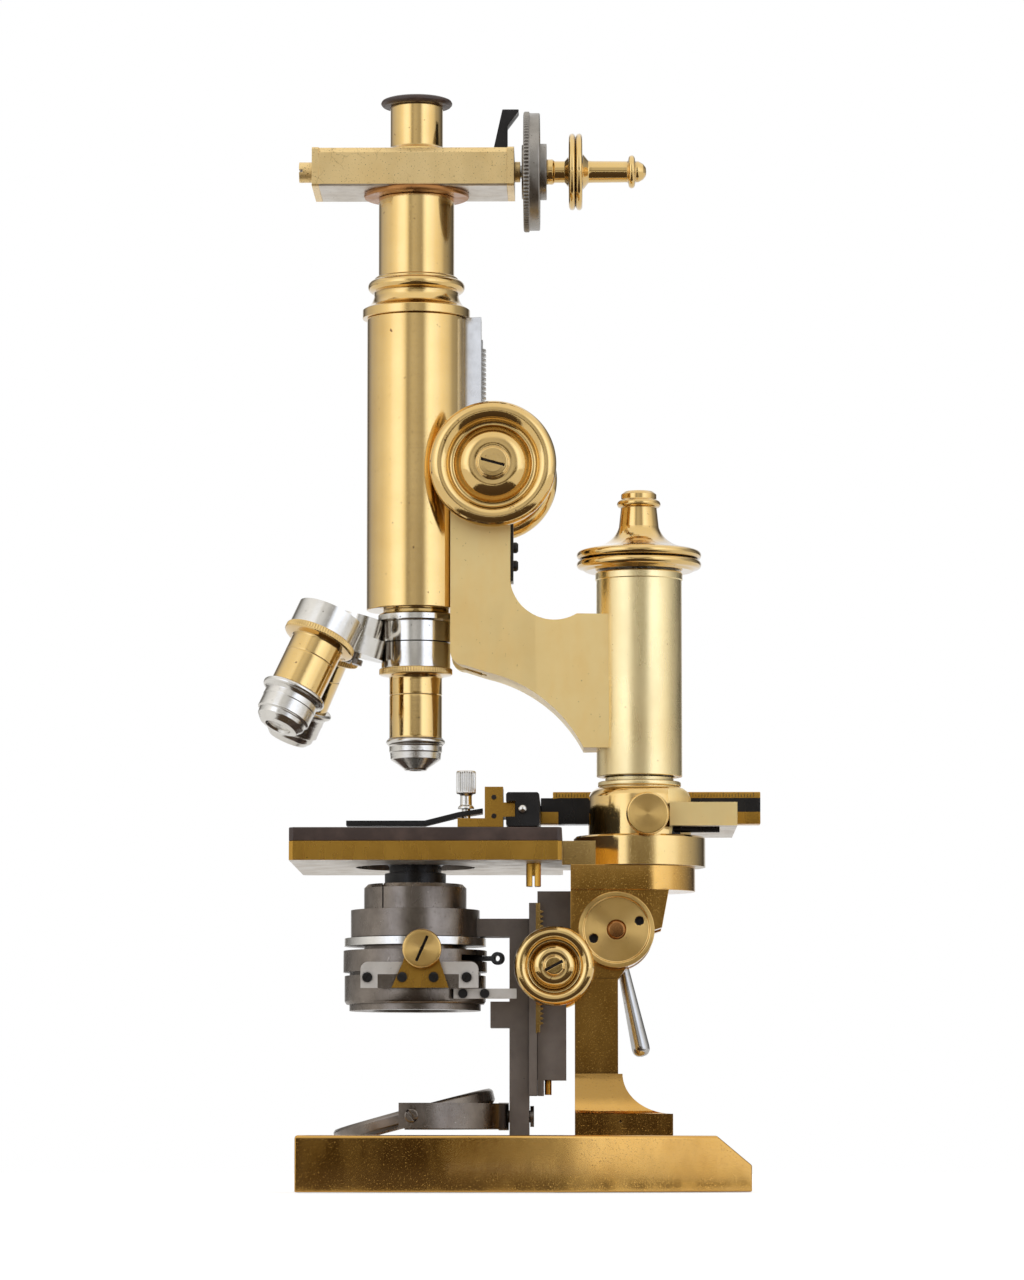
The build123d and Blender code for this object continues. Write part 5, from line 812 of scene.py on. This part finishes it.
class MICROSCOPE_OT_tube(bpy.types.Operator):
    """Body tube with its rack slide, beaded collar and sliding draw tube"""

    bl_idname = "microscope.tube"
    bl_label = "Tubes"

    def execute(self, context):
        lathe(
            "body_tube", lacquered_brass(), "tube", "lacquered_brass",
            [(8.8, 188.4), (10.8, 188.4), (10.8, 189.5), (16.0, 189.5), (16.25, 189.75), (16.25, 286.0),
             (16.0, 286.2), (15.05, 286.2), (15.05, 191.9), (8.8, 191.9)],
            TUBE_AXIS, closed=True, soft=0.15, around=192,
        )
        lathe(
            "tube_collar", lacquered_brass(), "tube", "lacquered_brass",
            [(12.6, 252.2), (15.05, 252.2), (15.05, 286.2), (17.75, 286.2), (17.75, 289.0)]
            + curve((16.95, 289.6), (14.9, 290.2), (14.0, 293.4), 10)
            + [(14.0, 294.7)] + bead(16.0, 296.8, 4.2, 12, (-85, 85))
            + [(13.9, 298.9), (13.9, 299.4), (13.4, 300.0), (12.6, 300.0)],
            TUBE_AXIS, closed=True, soft=0.2, around=192,
        )
        lathe(
            "draw_tube", lacquered_brass(), "draw", "lacquered_brass",
            [(11.3, 218.4), (12.5, 218.4), (12.5, 326.4), (11.3, 326.4)],
            TUBE_AXIS, closed=True, soft=0.2, around=160,
        )
        eased("tube_slide", 0.12, bright_steel(), "tube", "lacquered_brass")
        return {"FINISHED"}


class MICROSCOPE_OT_coarse(bpy.types.Operator):
    """Coarse focus: round-rimmed knobs, their slotted screws and the pinion"""

    bl_idname = "microscope.coarse"
    bl_label = "Coarse Focus"

    def execute(self, context):
        top, slot_width, slot_reach = 25.0, 0.7, 4.0
        for side, place, turn, knob_node, screw_node in (
            ("front", COARSE_FRONT, 75, "coarse_knobs", "knob_screws"),
            ("rear", COARSE_REAR, 40, None, None),
        ):
            lathe(
                f"coarse_knob_{side}", lacquered_brass(), "coarse_drive", "lacquered_brass",
                [(2.2, 13.8), (7.3, 13.8), (7.3, 16.8), (14.6, 16.8)]
                + bead(20.7, 20.1, 6.6, 22, (-120, 160))
                + curve((14.8, 20.6), (13.2, 18.2), (11.2, 21.0), 12)
                + curve((10.9, 21.5), (8.6, 23.8), (5.4, 23.1), 10) + [(5.3, 23.8), (2.2, 23.8)],
                place, closed=True, soft=0.35, around=192, node=knob_node,
            )
            screw = lathe(
                f"coarse_screw_{side}", lacquered_brass(), "coarse_drive", "nickel",
                [(0, 23.8), (5.0, 23.8), (5.0, 24.6), (4.6, 24.95), (3.0, top), (0, top)],
                place, soft=0.15, around=160, step=0.12, node=screw_node,
                reliefs=[slotted(top, slot_width, 0.8, turn, slot_reach)],
            )
            kerf(screw, place, top, slot_width, turn, slot_reach)
        keep("coarse_pinion", bright_steel())
        return {"FINISHED"}


class MICROSCOPE_OT_eyepiece(bpy.types.Operator):
    """Micrometer eyepiece: box, end plates, eye tube, cap, index and lenses"""

    bl_idname = "microscope.eyepiece"
    bl_label = "Micrometer Eyepiece"

    def execute(self, context):
        lathe(
            "eyepiece_sleeve", copper_brass(), "eyepiece", "copper_brass",
            [(10.24, 306.4), (11.24, 306.4), (11.24, 326.5), (17.1, 326.55), (17.4, 327.3), (17.1, 328.2),
             (10.24, 328.2)],
            TUBE_AXIS, closed=True, soft=0.15, around=160,
        )
        box = eased("micrometer_box", 0.3, pale_brass(), "eyepiece", "pale_brass")
        also(box, bare_brass(), lambda x, y, z, n: n[2] < -0.5)
        eased("box_end_plates", 0.2, pale_brass(), "eyepiece", "pale_brass")
        lathe(
            "eye_tube", lacquered_brass(), "eyepiece", "pale_brass",
            [(7.7, 341.2), (11.6, 341.2), (11.2, 342.2), (9.6, 342.6), (8.7, 343.4), (8.7, 357.2),
             (7.7, 357.2)],
            TUBE_AXIS, closed=True, soft=0.25,
        )
        lathe(
            "eye_cap", ebonite(), "eyepiece", "ebonite",
            [(4.0, 357.2), (11.1, 357.2), (11.9, 358.2), (11.4, 359.2), (9.7, 359.8), (6.0, 359.4)],
            TUBE_AXIS, closed=True, soft=0.4,
        )
        eased("index_pointer", 0.2, black_lacquer(), "eyepiece", "black_lacquer")
        for name, radius, low, node in (
            ("eye_lens", 7.7, 355.2, "eyepiece_lenses"),
            ("field_lens", 10.24, 306.4, None),
        ):
            crown = curve((radius - 0.3, 1.5), (radius * 0.5, 2.0), (0.01, 2.0), 10) + [(0, 2.0)]
            lathe(
                name, lens_glass(), "eyepiece", "lens_glass",
                [(0, 0), (radius, 0), (radius, 1.4)] + crown,
                shifted(TUBE_AXIS, low), soft=0.0, around=96, node=node,
            )
        keep("hair_carriage", bright_steel())
        return {"FINISHED"}


class MICROSCOPE_OT_drum(bpy.types.Operator):
    """Divided drum with its milled rim, and the turned winding handle"""

    bl_idname = "microscope.drum"
    bl_label = "Drum and Handle"

    def execute(self, context):
        place = shifted(SPINDLE_AXIS, -24.2)
        lathe(
            "graduated_drum", grey_steel(), "drum", "steel",
            [(2.2, 0), (9.0, 0), (9.0, 0.6), (19.5, 0.6), (19.9, 1.0), (19.9, 2.4), (19.4, 2.6),
             (19.4, 5.7), (19.1, 6.0), (17.9, 6.0), (17.9, 4.0), (9.3, 4.0), (9.3, 8.2), (2.2, 8.2)],
            place, closed=True, soft=0.15, around=800, step=0.699,
            reliefs=[milled(0.8, 2.5, sizes().drum_teeth, 0.45, 19.9)],
        )
        lathe(
            "drum_handle", lacquered_brass(), "drum", "lacquered_brass",
            [(0, 8.2), (4.2, 8.2), (4.2, 10.2), (3.6, 10.8), (3.6, 14.2), (5.2, 15.4), (11.2, 15.5)]
            + bead(12.7, 16.6, 2.2, 10, (-90, 75)) + [(11.3, 17.75)]
            + bead(12.7, 18.9, 2.2, 10, (-75, 90))
            + [(11.0, 20.0), (6.0, 20.1), (5.5, 20.6), (3.7, 22.0), (3.6, 23.1), (3.5, 34.9)]
            + bead(5.5, 36.3, 2.2, 8, (-90, 90))
            + [(3.5, 37.6), (3.5, 38.5), (2.6, 40.1), (1.4, 41.0), (0, 41.2)],
            place, soft=0.25, around=128,
        )
        keep("micrometer_spindle", bright_steel())
        return {"FINISHED"}


class MICROSCOPE_OT_objectives(bpy.types.Operator):
    """Turning nosepiece with three objectives: nickel sockets, brass barrels, nickel noses"""

    bl_idname = "microscope.objectives"
    bl_label = "Nosepiece and Objectives"

    def execute(self, context):
        places = sockets()
        eased("nosepiece_plate", 0.25, nickel(), "tube", "nickel")
        eased("nosepiece_turret", 0.3, nickel(), "turret", "nickel")
        eased("turret_pivot", 0.15, bronzed(), "tube", "nickel")
        shoulder, high, low = 76.0, 23.1, 20.4
        names = ("high_objective", "low_objective", "medium_objective")
        for name, place, length in zip(names, places, (high, low, low)):
            lathe(
                name, lacquered_brass(), "turret", "lacquered_brass",
                [(5.5, 0), (11.6, 0), (12.0, 0.4), (12.0, 2.0), (11.5, 2.4), (8.9, 2.9), (8.65, 3.4),
                 (8.65, 8.8), (8.5, 9.0), (8.65, 9.2), (8.65, length), (5.5, length)],
                shifted(place, shoulder), closed=True, soft=0.2, around=480, step=0.6,
                reliefs=[milled(0.3, 2.1, sizes().shoulder_teeth, 0.35, 12.0)],
            )
        high_line = (
            [(0, 0), (9.05, 0)] + bead(9.65, 1.1, 2.0, 8, (-80, 80))
            + [(9.0, 2.2), (8.65, 2.6), (8.65, 4.4), (8.4, 4.6), (8.2, 6.8), (3.9, 9.8), (3.6, 10.4),
               (2.2, 10.4), (1.8, 10.0), (0, 9.9)]
        )
        low_line = (
            [(0, 0), (9.9, 0)] + bead(10.65, 1.0, 2.0, 8, (-80, 80))
            + [(9.6, 2.2), (9.0, 3.0), (9.05, 5.0), (8.9, 5.2), (8.9, 9.4), (8.2, 9.8), (8.0, 11.4),
               (6.4, 13.2), (4.4, 13.6), (4.0, 12.6), (0, 12.4)]
        )
        for name, place, line, start, soft, node in (
            ("high_nose", places[0], high_line, high, 0.15, "objective_noses"),
            ("low_nose", places[1], low_line, low, 0.2, None),
            ("medium_nose", places[2], low_line, low, 0.2, None),
        ):
            place = shifted(place, shoulder + start)
            lathe(name, nickel(), "turret", "nickel", line, place, node, soft=soft)
        return {"FINISHED"}


class MICROSCOPE_OT_carriage(bpy.types.Operator):
    """Mechanical stage: clamping collar, traverse bar, cross slide, carriage, finger and nuts"""

    bl_idname = "microscope.carriage"
    bl_label = "Mechanical Stage"

    def execute(self, context):
        black = black_lacquer()
        collar = eased("clamp_collar", 0.3, lacquered_brass(), "bracket", "lacquered_brass")
        # The saddle at the rear, its underside, and the rod below the collar.
        also(collar, cast_brass(), lambda x, y, z, n: x > 23.5)
        also(collar, bare_brass(), lambda x, y, z, n: (n[2] < -0.5) & (x > 23.0))
        also(collar, black, lambda x, y, z, n: (abs(y + 12.0) < 1.2) & (z < 117.68) & (x > 18.5))
        # The strip that bears the scale, and the lower part of both ends.
        cuts = ((2, 129.2), (2, 124.6), (0, -12.4), (0, 44.0))
        bar = eased("traverse_bar", 0.25, black, "traverse", "black_lacquer", cuts)
        also(bar, dark_brass(), lambda x, y, z, n: (z > 129.25) | ((z < 124.6) & (abs(x - 15.8) > 28.2)))
        scale = ruling("bar_divisions", -13.0, 53.0, 17.97, (129.5, 131.0))
        dress(scale, black, "traverse", "black_lacquer")
        slide = eased("cross_slide", 0.25, black, "traverse", "black_lacquer")
        also(slide, nickel(), lambda x, y, z, n: y < -42.05)  # the ball on its front
        carriage = eased("stage_carriage", 0.2, dark_brass(), "carriage", "lacquered_brass")
        also(carriage, slot_shade_and_grime(), lambda x, y, z, n: y < -37.1)  # the heads of its screws
        also(carriage, black, lambda x, y, z, n: x > -29.9)  # its tongue
        eased("specimen_finger", 0.2, black, "carriage", "black_lacquer")
        lathe(
            "finger_nut", nickel(), "carriage", "nickel",
            [(0, 119.0), (1.4, 119.0), (1.4, 122.4), (2.7, 122.4), (2.5, 123.1), (1.9, 123.7),
             (1.85, 126.6), (2.2, 127.1), (2.9, 127.2), (3.15, 127.5), (3.15, 134.3), (2.9, 134.6),
             (1.7, 134.6), (1.5, 134.4), (0, 134.4)],
            ((-41.8, -30.0, 0.0), (0, 0, 1)), soft=0.15, around=240, step=0.4,
            reliefs=[milled(127.6, 134.2, 26, 0.3, 3.15)],
        )
        spun(lathe(
            "clamp_thumbscrew", turned_knob(), "collar_screw", "lacquered_brass",
            [(0, 17.1), (3.5, 17.1), (3.5, 22.1), (6.4, 22.1), (7.0, 22.7), (7.0, 25.4), (6.4, 26.1),
             (4.6, 26.0), (0, 26.1)],
            ((16.6, 0.0, 121.3), (0, -1, 0)), soft=0.25, around=360, step=0.5,
            reliefs=[milled(22.6, 25.5, 60, 0.22, 7.0)],
        ))
        return {"FINISHED"}


class MICROSCOPE_OT_substage(bpy.types.Operator):
    """Substage: slide, focusing knobs, condenser, iris and its screw and ring"""

    bl_idname = "microscope.substage"
    bl_label = "Substage and Condenser"

    def execute(self, context):
        black = black_lacquer()
        block = eased("substage_block", 0.3, bronzed_flat(), "bracket", "black_lacquer")
        also(block, dark_brass(), lambda x, y, z, n: (z < 35.9) & (x > -17.15))  # its screws
        cuts = ((0, -19.6), (2, 51.0))
        bar = eased("substage_bar", 0.3, bronzed_flat(), "substage", "black_lacquer", cuts)
        also(bar, lacquered_brass(), lambda x, y, z, n: (x > -19.6) & (z > 51.0))  # the rack
        also(bar, bronzed(), lambda x, y, z, n: off_axis(x, y, TUBE_AXIS) < 21.4)  # the holder
        seat, top, slot_width, slot_turn = 4.6, 5.8, 0.8, 118
        for side, axis, disc, node in (
            ("front", SUBSTAGE_FRONT, 20.8, "substage_pinion"),
            ("rear", SUBSTAGE_REAR, 17.6, None),
        ):
            place = shifted(axis, disc)
            lathe(
                f"substage_knob_{side}", lacquered_brass(), "substage_drive", "lacquered_brass",
                [(0, -9.0), (4.6, -9.0), (4.6, 0), (8.7, 0)] + bead(12.9, 2.2, 4.4, 18, (-120, 160))
                + curve((9.0, 2.0), (8.0, 0.9), (6.9, 2.6), 10)
                + curve((6.8, 3.0), (5.4, 4.6), (3.5, 4.0), 8) + [(3.4, seat), (0, seat)],
                place, soft=0.3, around=160, node=node,
            )
            screw = lathe(
                f"substage_screw_{side}", lacquered_brass(), "substage_drive", "lacquered_brass",
                [(0, seat), (3.2, seat), (3.2, 5.4), (2.7, top), (0, top)],
                place, soft=0.15, step=0.12, node=None,
                reliefs=[slotted(top, slot_width, 0.7, slot_turn)],
            )
            kerf(screw, place, top, slot_width, slot_turn)
        ends = [(0, -17.0), (2.2, -17.0), (2.2, 17.0), (0, 17.0)]
        lathe(
            "substage_shaft", bright_steel(), "substage_drive", "steel",
            ends, SUBSTAGE_FRONT, soft=0.1, around=48, node=None,
        )

        condenser = eased("condenser", 0.25, bronzed(), "substage", "black_lacquer")
        # The guide ring of the iris, and the neck above the drum.
        also(condenser, nickel(), lambda x, y, z, n: (
            (79.3 < z) & (z < 82.2) & (off_axis(x, y, TUBE_AXIS) > 21.2)
        ))
        also(condenser, black, lambda x, y, z, n: z > 99.5)
        carrier = eased("iris_carrier", 0.2, bronzed(), "iris", "black_lacquer")
        strap, strap_screws = 63.5, [(-43.0, 63.5), (-36.0, 63.5)]
        also(carrier, frosted_nickel(), lambda x, y, z, n: (
            (abs(z - strap) < 1.7) & (x > -46.2) & (off_axis(x, y, TUBE_AXIS) > 23.6)
        ))
        also(carrier, black, lambda x, y, z, n: (gap_to(x, z, strap_screws) < 1.7) & (y < -20.95))
        cuts, face = ((0, -70.3), (0, -44.2), (2, 69.6)), -25.45
        plate = eased("iris_plate", 0.15, frosted_nickel(), "iris", "nickel", cuts)
        plate_screws = [(-73.6, 68.6), (-41.7, 68.6)]
        # The cut-out below the plate's bridge, its tongue, and its screws.
        also(plate, bronzed(), lambda x, y, z, n: (abs(x + 57.25) < 13.0) & (z < 69.6))
        also(plate, dark_brass(), lambda x, y, z, n: y < face)
        also(plate, black, lambda x, y, z, n: (y < -27.05) | ((gap_to(x, z, plate_screws) < 1.75) & (y < face)))
        eased("iris_lever", 0.2, black, "iris_ring", "black_lacquer")
        place, top, slot_turn, slot_reach = ((-55.9, 0.0, 77.6), (0, -1, 0)), 31.9, 156, 4.3
        screw = spun(lathe(
            "iris_thumbscrew", turned_knob(), "iris_screw", "lacquered_brass",
            [(0, 24.1), (1.2, 24.1), (1.2, 28.3), (5.7, 28.3), (6.3, 28.9), (6.3, 31.3), (5.9, 31.75),
             (5.2, top), (0, top)],
            place, soft=0.2, around=320, step=0.2,
            reliefs=[milled(28.7, 31.2, 48, 0.25, 6.3), slotted(top, slot_width, 1.2, slot_turn, slot_reach)],
        ))
        kerf(screw, place, top, slot_width, slot_turn, slot_reach)
        return {"FINISHED"}


class MICROSCOPE_OT_mirror(bpy.types.Operator):
    """Mirror: silvered glass in a turned cell, hung in its fork"""

    bl_idname = "microscope.mirror"
    bl_label = "Mirror"

    def execute(self, context):
        lean = math.radians(15.0)
        middle = (-59.2, 0.0, 24.3)
        face = (middle, (-math.sin(lean), 0.0, math.cos(lean)))
        lathe(
            "mirror_cell", bronzed(), "mirror", "black_lacquer",
            [(0, -2.5), (25.8, -2.5), (26.8, -1.5), (26.8, 1.6), (26.0, 2.5), (24.0, 2.5), (23.8, 2.3),
             (23.8, 0.5), (0, 0.5)],
            face, soft=0.4, around=160,
        )
        lathe(
            "mirror_trunnions", bronzed(), "mirror", "black_lacquer",
            [(0, -31.6), (1.6, -31.6), (1.6, 31.6), (0, 31.6)],
            (middle, (0, 1, 0)), soft=0.1, around=32, node=None,
        )
        lathe(
            "mirror_glass", silvered_mirror(), "mirror", "mirror_silver",
            [(0, 0.5), (23.8, 0.5), (23.8, 1.9), (23.5, 2.2), (0, 2.2)],
            face, soft=0.1, around=160,
        )
        for side, way in (("front", -1), ("rear", 1)):
            place = shifted((middle, (0, way, 0)), 31.1)
            head = lathe(
                f"mirror_screw_{side}", bronzed(), "mirror", "black_lacquer",
                [(0, 0), (2.2, 0), (2.2, 0.63), (1.892, 0.9), (0, 0.9)],
                place, soft=0.1, around=72, step=0.1375, node=None,
                reliefs=[slotted(0.9, 0.748, 0.54, 40.0)],
            )
            kerf(head, place, 0.9, 0.748, 40.0)
        eased("mirror_fork", 0.4, bronzed(), "fork", "black_lacquer")
        return {"FINISHED"}


# Light by angle in degrees round the vertical, from the left of the camera to its right.
HIGH_LIGHT = (
    (-180, 1.0), (-166, 0.9), (-152, 0.06), (-125, 0.55), (-109, 0.67), (-96, 0.80), (-84, 0.87),
    (-73, 1.02), (-62, 1.20), (-53, 1.45), (-43, 1.57), (-34, 1.52), (-26, 1.15), (-19, 0.42),
    (-8, 0.66), (0, 0.63), (8, 0.53), (18, 0.47), (26, 1.30), (34, 1.64), (43, 1.52), (53, 1.35),
    (62, 1.17), (73, 1.03), (84, 0.85), (96, 0.48), (109, 0.40), (125, 0.22), (149, 0.05), (166, 0.8),
)
LOW_LIGHT = (
    (-180, 1.0), (-166, 0.9), (-152, 0.06), (-130, 0.30), (-109, 0.55), (-84, 0.80), (-62, 1.10),
    (-43, 1.45), (-26, 1.40), (-19, 0.40), (-13, 0.17), (0, 0.15), (16, 0.15), (24, 0.40), (31, 1.45),
    (46, 1.40), (62, 1.30), (76, 0.80), (96, 0.55), (125, 0.22), (149, 0.05), (166, 0.8),
)
GAP_TINT = (1.0, 0.84, 0.55)
BOX_TINT = (0.93, 1.0, 1.16)
# The camera's place to the right of the origin, in metres.
CAMERA_SIDE = -0.004
# The flag's half width, and its rows from far to near: y and z in mm, a low fence, then flat.
FLAG_SIDE = 260.0
FLAG_ROWS = ((-1500.0, 60.0), (-1499.0, -0.1), (-850.0, -0.1), (-75.0, -0.1))


def light_ramp(tree, share, stops):
    """The light round the vertical: levels halved into the ramp's 0 to 1, tinted where dark or bright."""
    colour = add(tree, "ValToRGB", {"Fac": share})["Color"]
    points = colour.node.color_ramp.elements
    while len(points) > 1:
        points.remove(points[-1])
    for k, (angle, level) in enumerate(stops):
        point = points.new((angle + 180) / 360) if k else points[0]
        point.position = (angle + 180) / 360
        tint = GAP_TINT if level < 0.2 else BOX_TINT if level > 1.2 else (1.0, 1.0, 1.0)
        point.color = (*(level / 2 * t for t in tint), 1.0)
    return colour


def studio_world():
    """A white studio by direction: softboxes left and right of the camera, a dark gap between them.

    The angle round the vertical is atan2(x, -y), 0 towards the camera's side. One ramp holds the
    light at eye level and above it, another the light just above the table; the dome over them is
    even. Camera and transmission rays see plain white, and glossy rays that go straight back see
    the same white, because both ramps reach 1 there.
    """
    world = bpy.data.worlds.new("white studio")
    bpy.context.scene.world = world
    world.use_nodes = True
    tree = world.node_tree
    tree.nodes.clear()
    way = add(tree, "TexCoord")["Generated"]
    part = add(tree, "SeparateXYZ", {"Vector": way})
    back = add(tree, "Math", {0: part["Y"], 1: -1.0}, operation="MULTIPLY")[0]
    turn = add(tree, "Math", {0: part["X"], 1: back}, operation="ARCTAN2")[0]
    inputs = {"Value": turn, "From Min": -math.pi, "From Max": math.pi}
    share = add(tree, "MapRange", inputs)["Result"]
    high, low = (light_ramp(tree, share, stops) for stops in (HIGH_LIGHT, LOW_LIGHT))
    rise = add(tree, "MapRange", {0: part["Z"], 1: 0.05, 2: 0.10, 3: 0.0, 4: 1.0}, **SMOOTH)["Result"]
    level = add(tree, "Mix", {0: rise, 6: low, 7: high}, data_type="RGBA")[2]
    level = add(tree, "VectorMath", {0: level, "Scale": 2.0}, operation="SCALE")["Vector"]
    dome = add(tree, "MapRange", {0: part["Z"], 1: 0.45, 2: 0.80, 3: 0.0, 4: 1.0}, **SMOOTH)["Result"]
    level = add(tree, "Mix", {0: dome, 6: level, 7: linear("#FFFFFF")}, data_type="RGBA")[2]
    studio = add(tree, "Background", {"Color": level, "Strength": 1.0})[0]
    white = add(tree, "Background", {"Color": linear("#FFFFFF"), "Strength": 1.0})[0]
    path = add(tree, "LightPath")
    inputs = {0: path["Is Camera Ray"], 1: path["Is Transmission Ray"]}
    seen = add(tree, "Math", inputs, operation="MAXIMUM")[0]
    mixed = add(tree, "MixShader", {0: seen, 1: studio, 2: white})[0]
    add(tree, "OutputWorld", {"Surface": mixed})


class MICROSCOPE_OT_studio(bpy.types.Operator):
    """Pale floor, white studio light and the camera in front of the microscope"""

    bl_idname = "microscope.studio"
    bl_label = "Studio"

    def execute(self, context):
        chosen = sizes()
        half = chosen.floor_size / 2 / MM
        line = np.linspace(-half, half, 3)
        x, y = np.meshgrid(line, line, indexing="ij")
        floor = surface("studio_floor", np.stack([x, y, 0 * x - 0.2], -1), False, False, (line, line))
        paint, tree, _, _ = fresh("pale floor paint")
        # The camera sees the floor as white, and its light on the piece stays that of the paint.
        seen = add(tree, "LightPath")["Is Camera Ray"]
        lift = add(tree, "Math", {0: seen, 1: 0.35}, operation="MULTIPLY")[0]
        skin(paint, {
            "Base Color": (*chosen.floor_colour, 1.0), "Roughness": 0.7,
            "Emission Color": linear("#FFFFFF"), "Emission Strength": lift,
        })
        floor.data.materials.append(paint)

        # A low brown card in front, out of the camera's sight, that the foot and pillar mirror.
        y, z = np.array(FLAG_ROWS).T
        x = np.linspace(-FLAG_SIDE, FLAG_SIDE, 3)[:, None] + 0 * y
        card = np.stack([x, y + 0 * x, z + 0 * x], -1)
        flag = surface("studio_flag", card, False, False, (line, np.arange(5.0)))
        felt, tree, _, _ = fresh("brown felt")
        flag.data.materials.append(skin(felt, {"Base Color": linear("#4A3A28"), "Roughness": 1.0}))
        flag.visible_camera = flag.visible_diffuse = flag.visible_shadow = False

        studio_world()
        camera = bpy.data.cameras.new("front camera")
        camera.lens, camera.sensor_width = chosen.lens_mm, 36.0
        camera.clip_start, camera.clip_end = 0.01, 50.0
        viewer = bpy.data.objects.new("front camera", camera)
        bpy.context.scene.collection.objects.link(viewer)
        low, high = Vector(CAD_BOX[0]), Vector(CAD_BOX[1])
        aim = Vector(((low.x + high.x) / 2, 0.0, (low.z + high.z) / 2))
        viewer.location = Vector((CAMERA_SIDE, -chosen.camera_distance, chosen.camera_height))
        viewer.rotation_euler = (aim - viewer.location).to_track_quat("-Z", "Y").to_euler()
        scene = bpy.context.scene
        scene.camera = viewer
        scene.view_settings.view_transform = "Standard"
        return {"FINISHED"}


# ------------------------------------------------------------------ add-on
class MicroscopeFinish(bpy.types.PropertyGroup):
    """Sizes and colours of the microscope's finish."""

    drum_teeth: bpy.props.IntProperty(
        name="Drum Teeth", description="Milled teeth round the divided drum", default=100, min=24, max=200
    )
    shoulder_teeth: bpy.props.IntProperty(
        name="Shoulder Teeth", description="Milled teeth round an objective's shoulder",
        default=80, min=24, max=160,
    )
    floor_size: bpy.props.FloatProperty(
        name="Floor Size", description="Side of the studio floor", default=9.0, min=1.0, unit="LENGTH"
    )
    floor_colour: bpy.props.FloatVectorProperty(
        name="Floor Colour", description="Paint of the studio floor", subtype="COLOR", min=0, max=1,
        default=linear("#F4F3F1")[:3],
    )
    camera_distance: bpy.props.FloatProperty(
        name="Camera Distance", description="From the camera to the pillar's plane", default=1.74, min=0.5,
        unit="LENGTH",
    )
    camera_height: bpy.props.FloatProperty(
        name="Camera Height", description="Camera's height above the table", default=0.008, min=0.001,
        unit="LENGTH",
    )
    lens_mm: bpy.props.FloatProperty(
        name="Lens", description="Focal length in millimetres on a 36 mm frame", default=150.0, min=20.0
    )


class MICROSCOPE_PT_panel(bpy.types.Panel):
    """Lists the microscope's pieces and their settings"""

    bl_idname = "MICROSCOPE_PT_panel"
    bl_label = "Microscope"
    bl_space_type = "VIEW_3D"
    bl_region_type = "UI"
    bl_category = "Microscope"

    def draw(self, context):
        for key in MicroscopeFinish.__annotations__:
            self.layout.prop(sizes(), key)
        for maker in MAKERS:
            self.layout.operator(maker.bl_idname)


MAKERS = (
    MICROSCOPE_OT_studio,
    MICROSCOPE_OT_foot,
    MICROSCOPE_OT_joint,
    MICROSCOPE_OT_stage,
    MICROSCOPE_OT_limb,
    MICROSCOPE_OT_tube,
    MICROSCOPE_OT_coarse,
    MICROSCOPE_OT_eyepiece,
    MICROSCOPE_OT_drum,
    MICROSCOPE_OT_objectives,
    MICROSCOPE_OT_carriage,
    MICROSCOPE_OT_substage,
    MICROSCOPE_OT_mirror,
)
CLASSES = (MicroscopeFinish, MICROSCOPE_PT_panel) + MAKERS


def register():
    for kind in CLASSES:
        bpy.utils.register_class(kind)
    bpy.types.Scene.microscope_finish = bpy.props.PointerProperty(type=MicroscopeFinish)


def unregister():
    del bpy.types.Scene.microscope_finish
    for kind in reversed(CLASSES):
        bpy.utils.unregister_class(kind)


def main():
    """Builds the whole scene."""
    register()
    for maker in MAKERS:
        group, name = maker.bl_idname.split(".")
        getattr(getattr(bpy.ops, group), name)()
    bpy.context.view_layer.update()


if __name__ == "__main__":
    main()
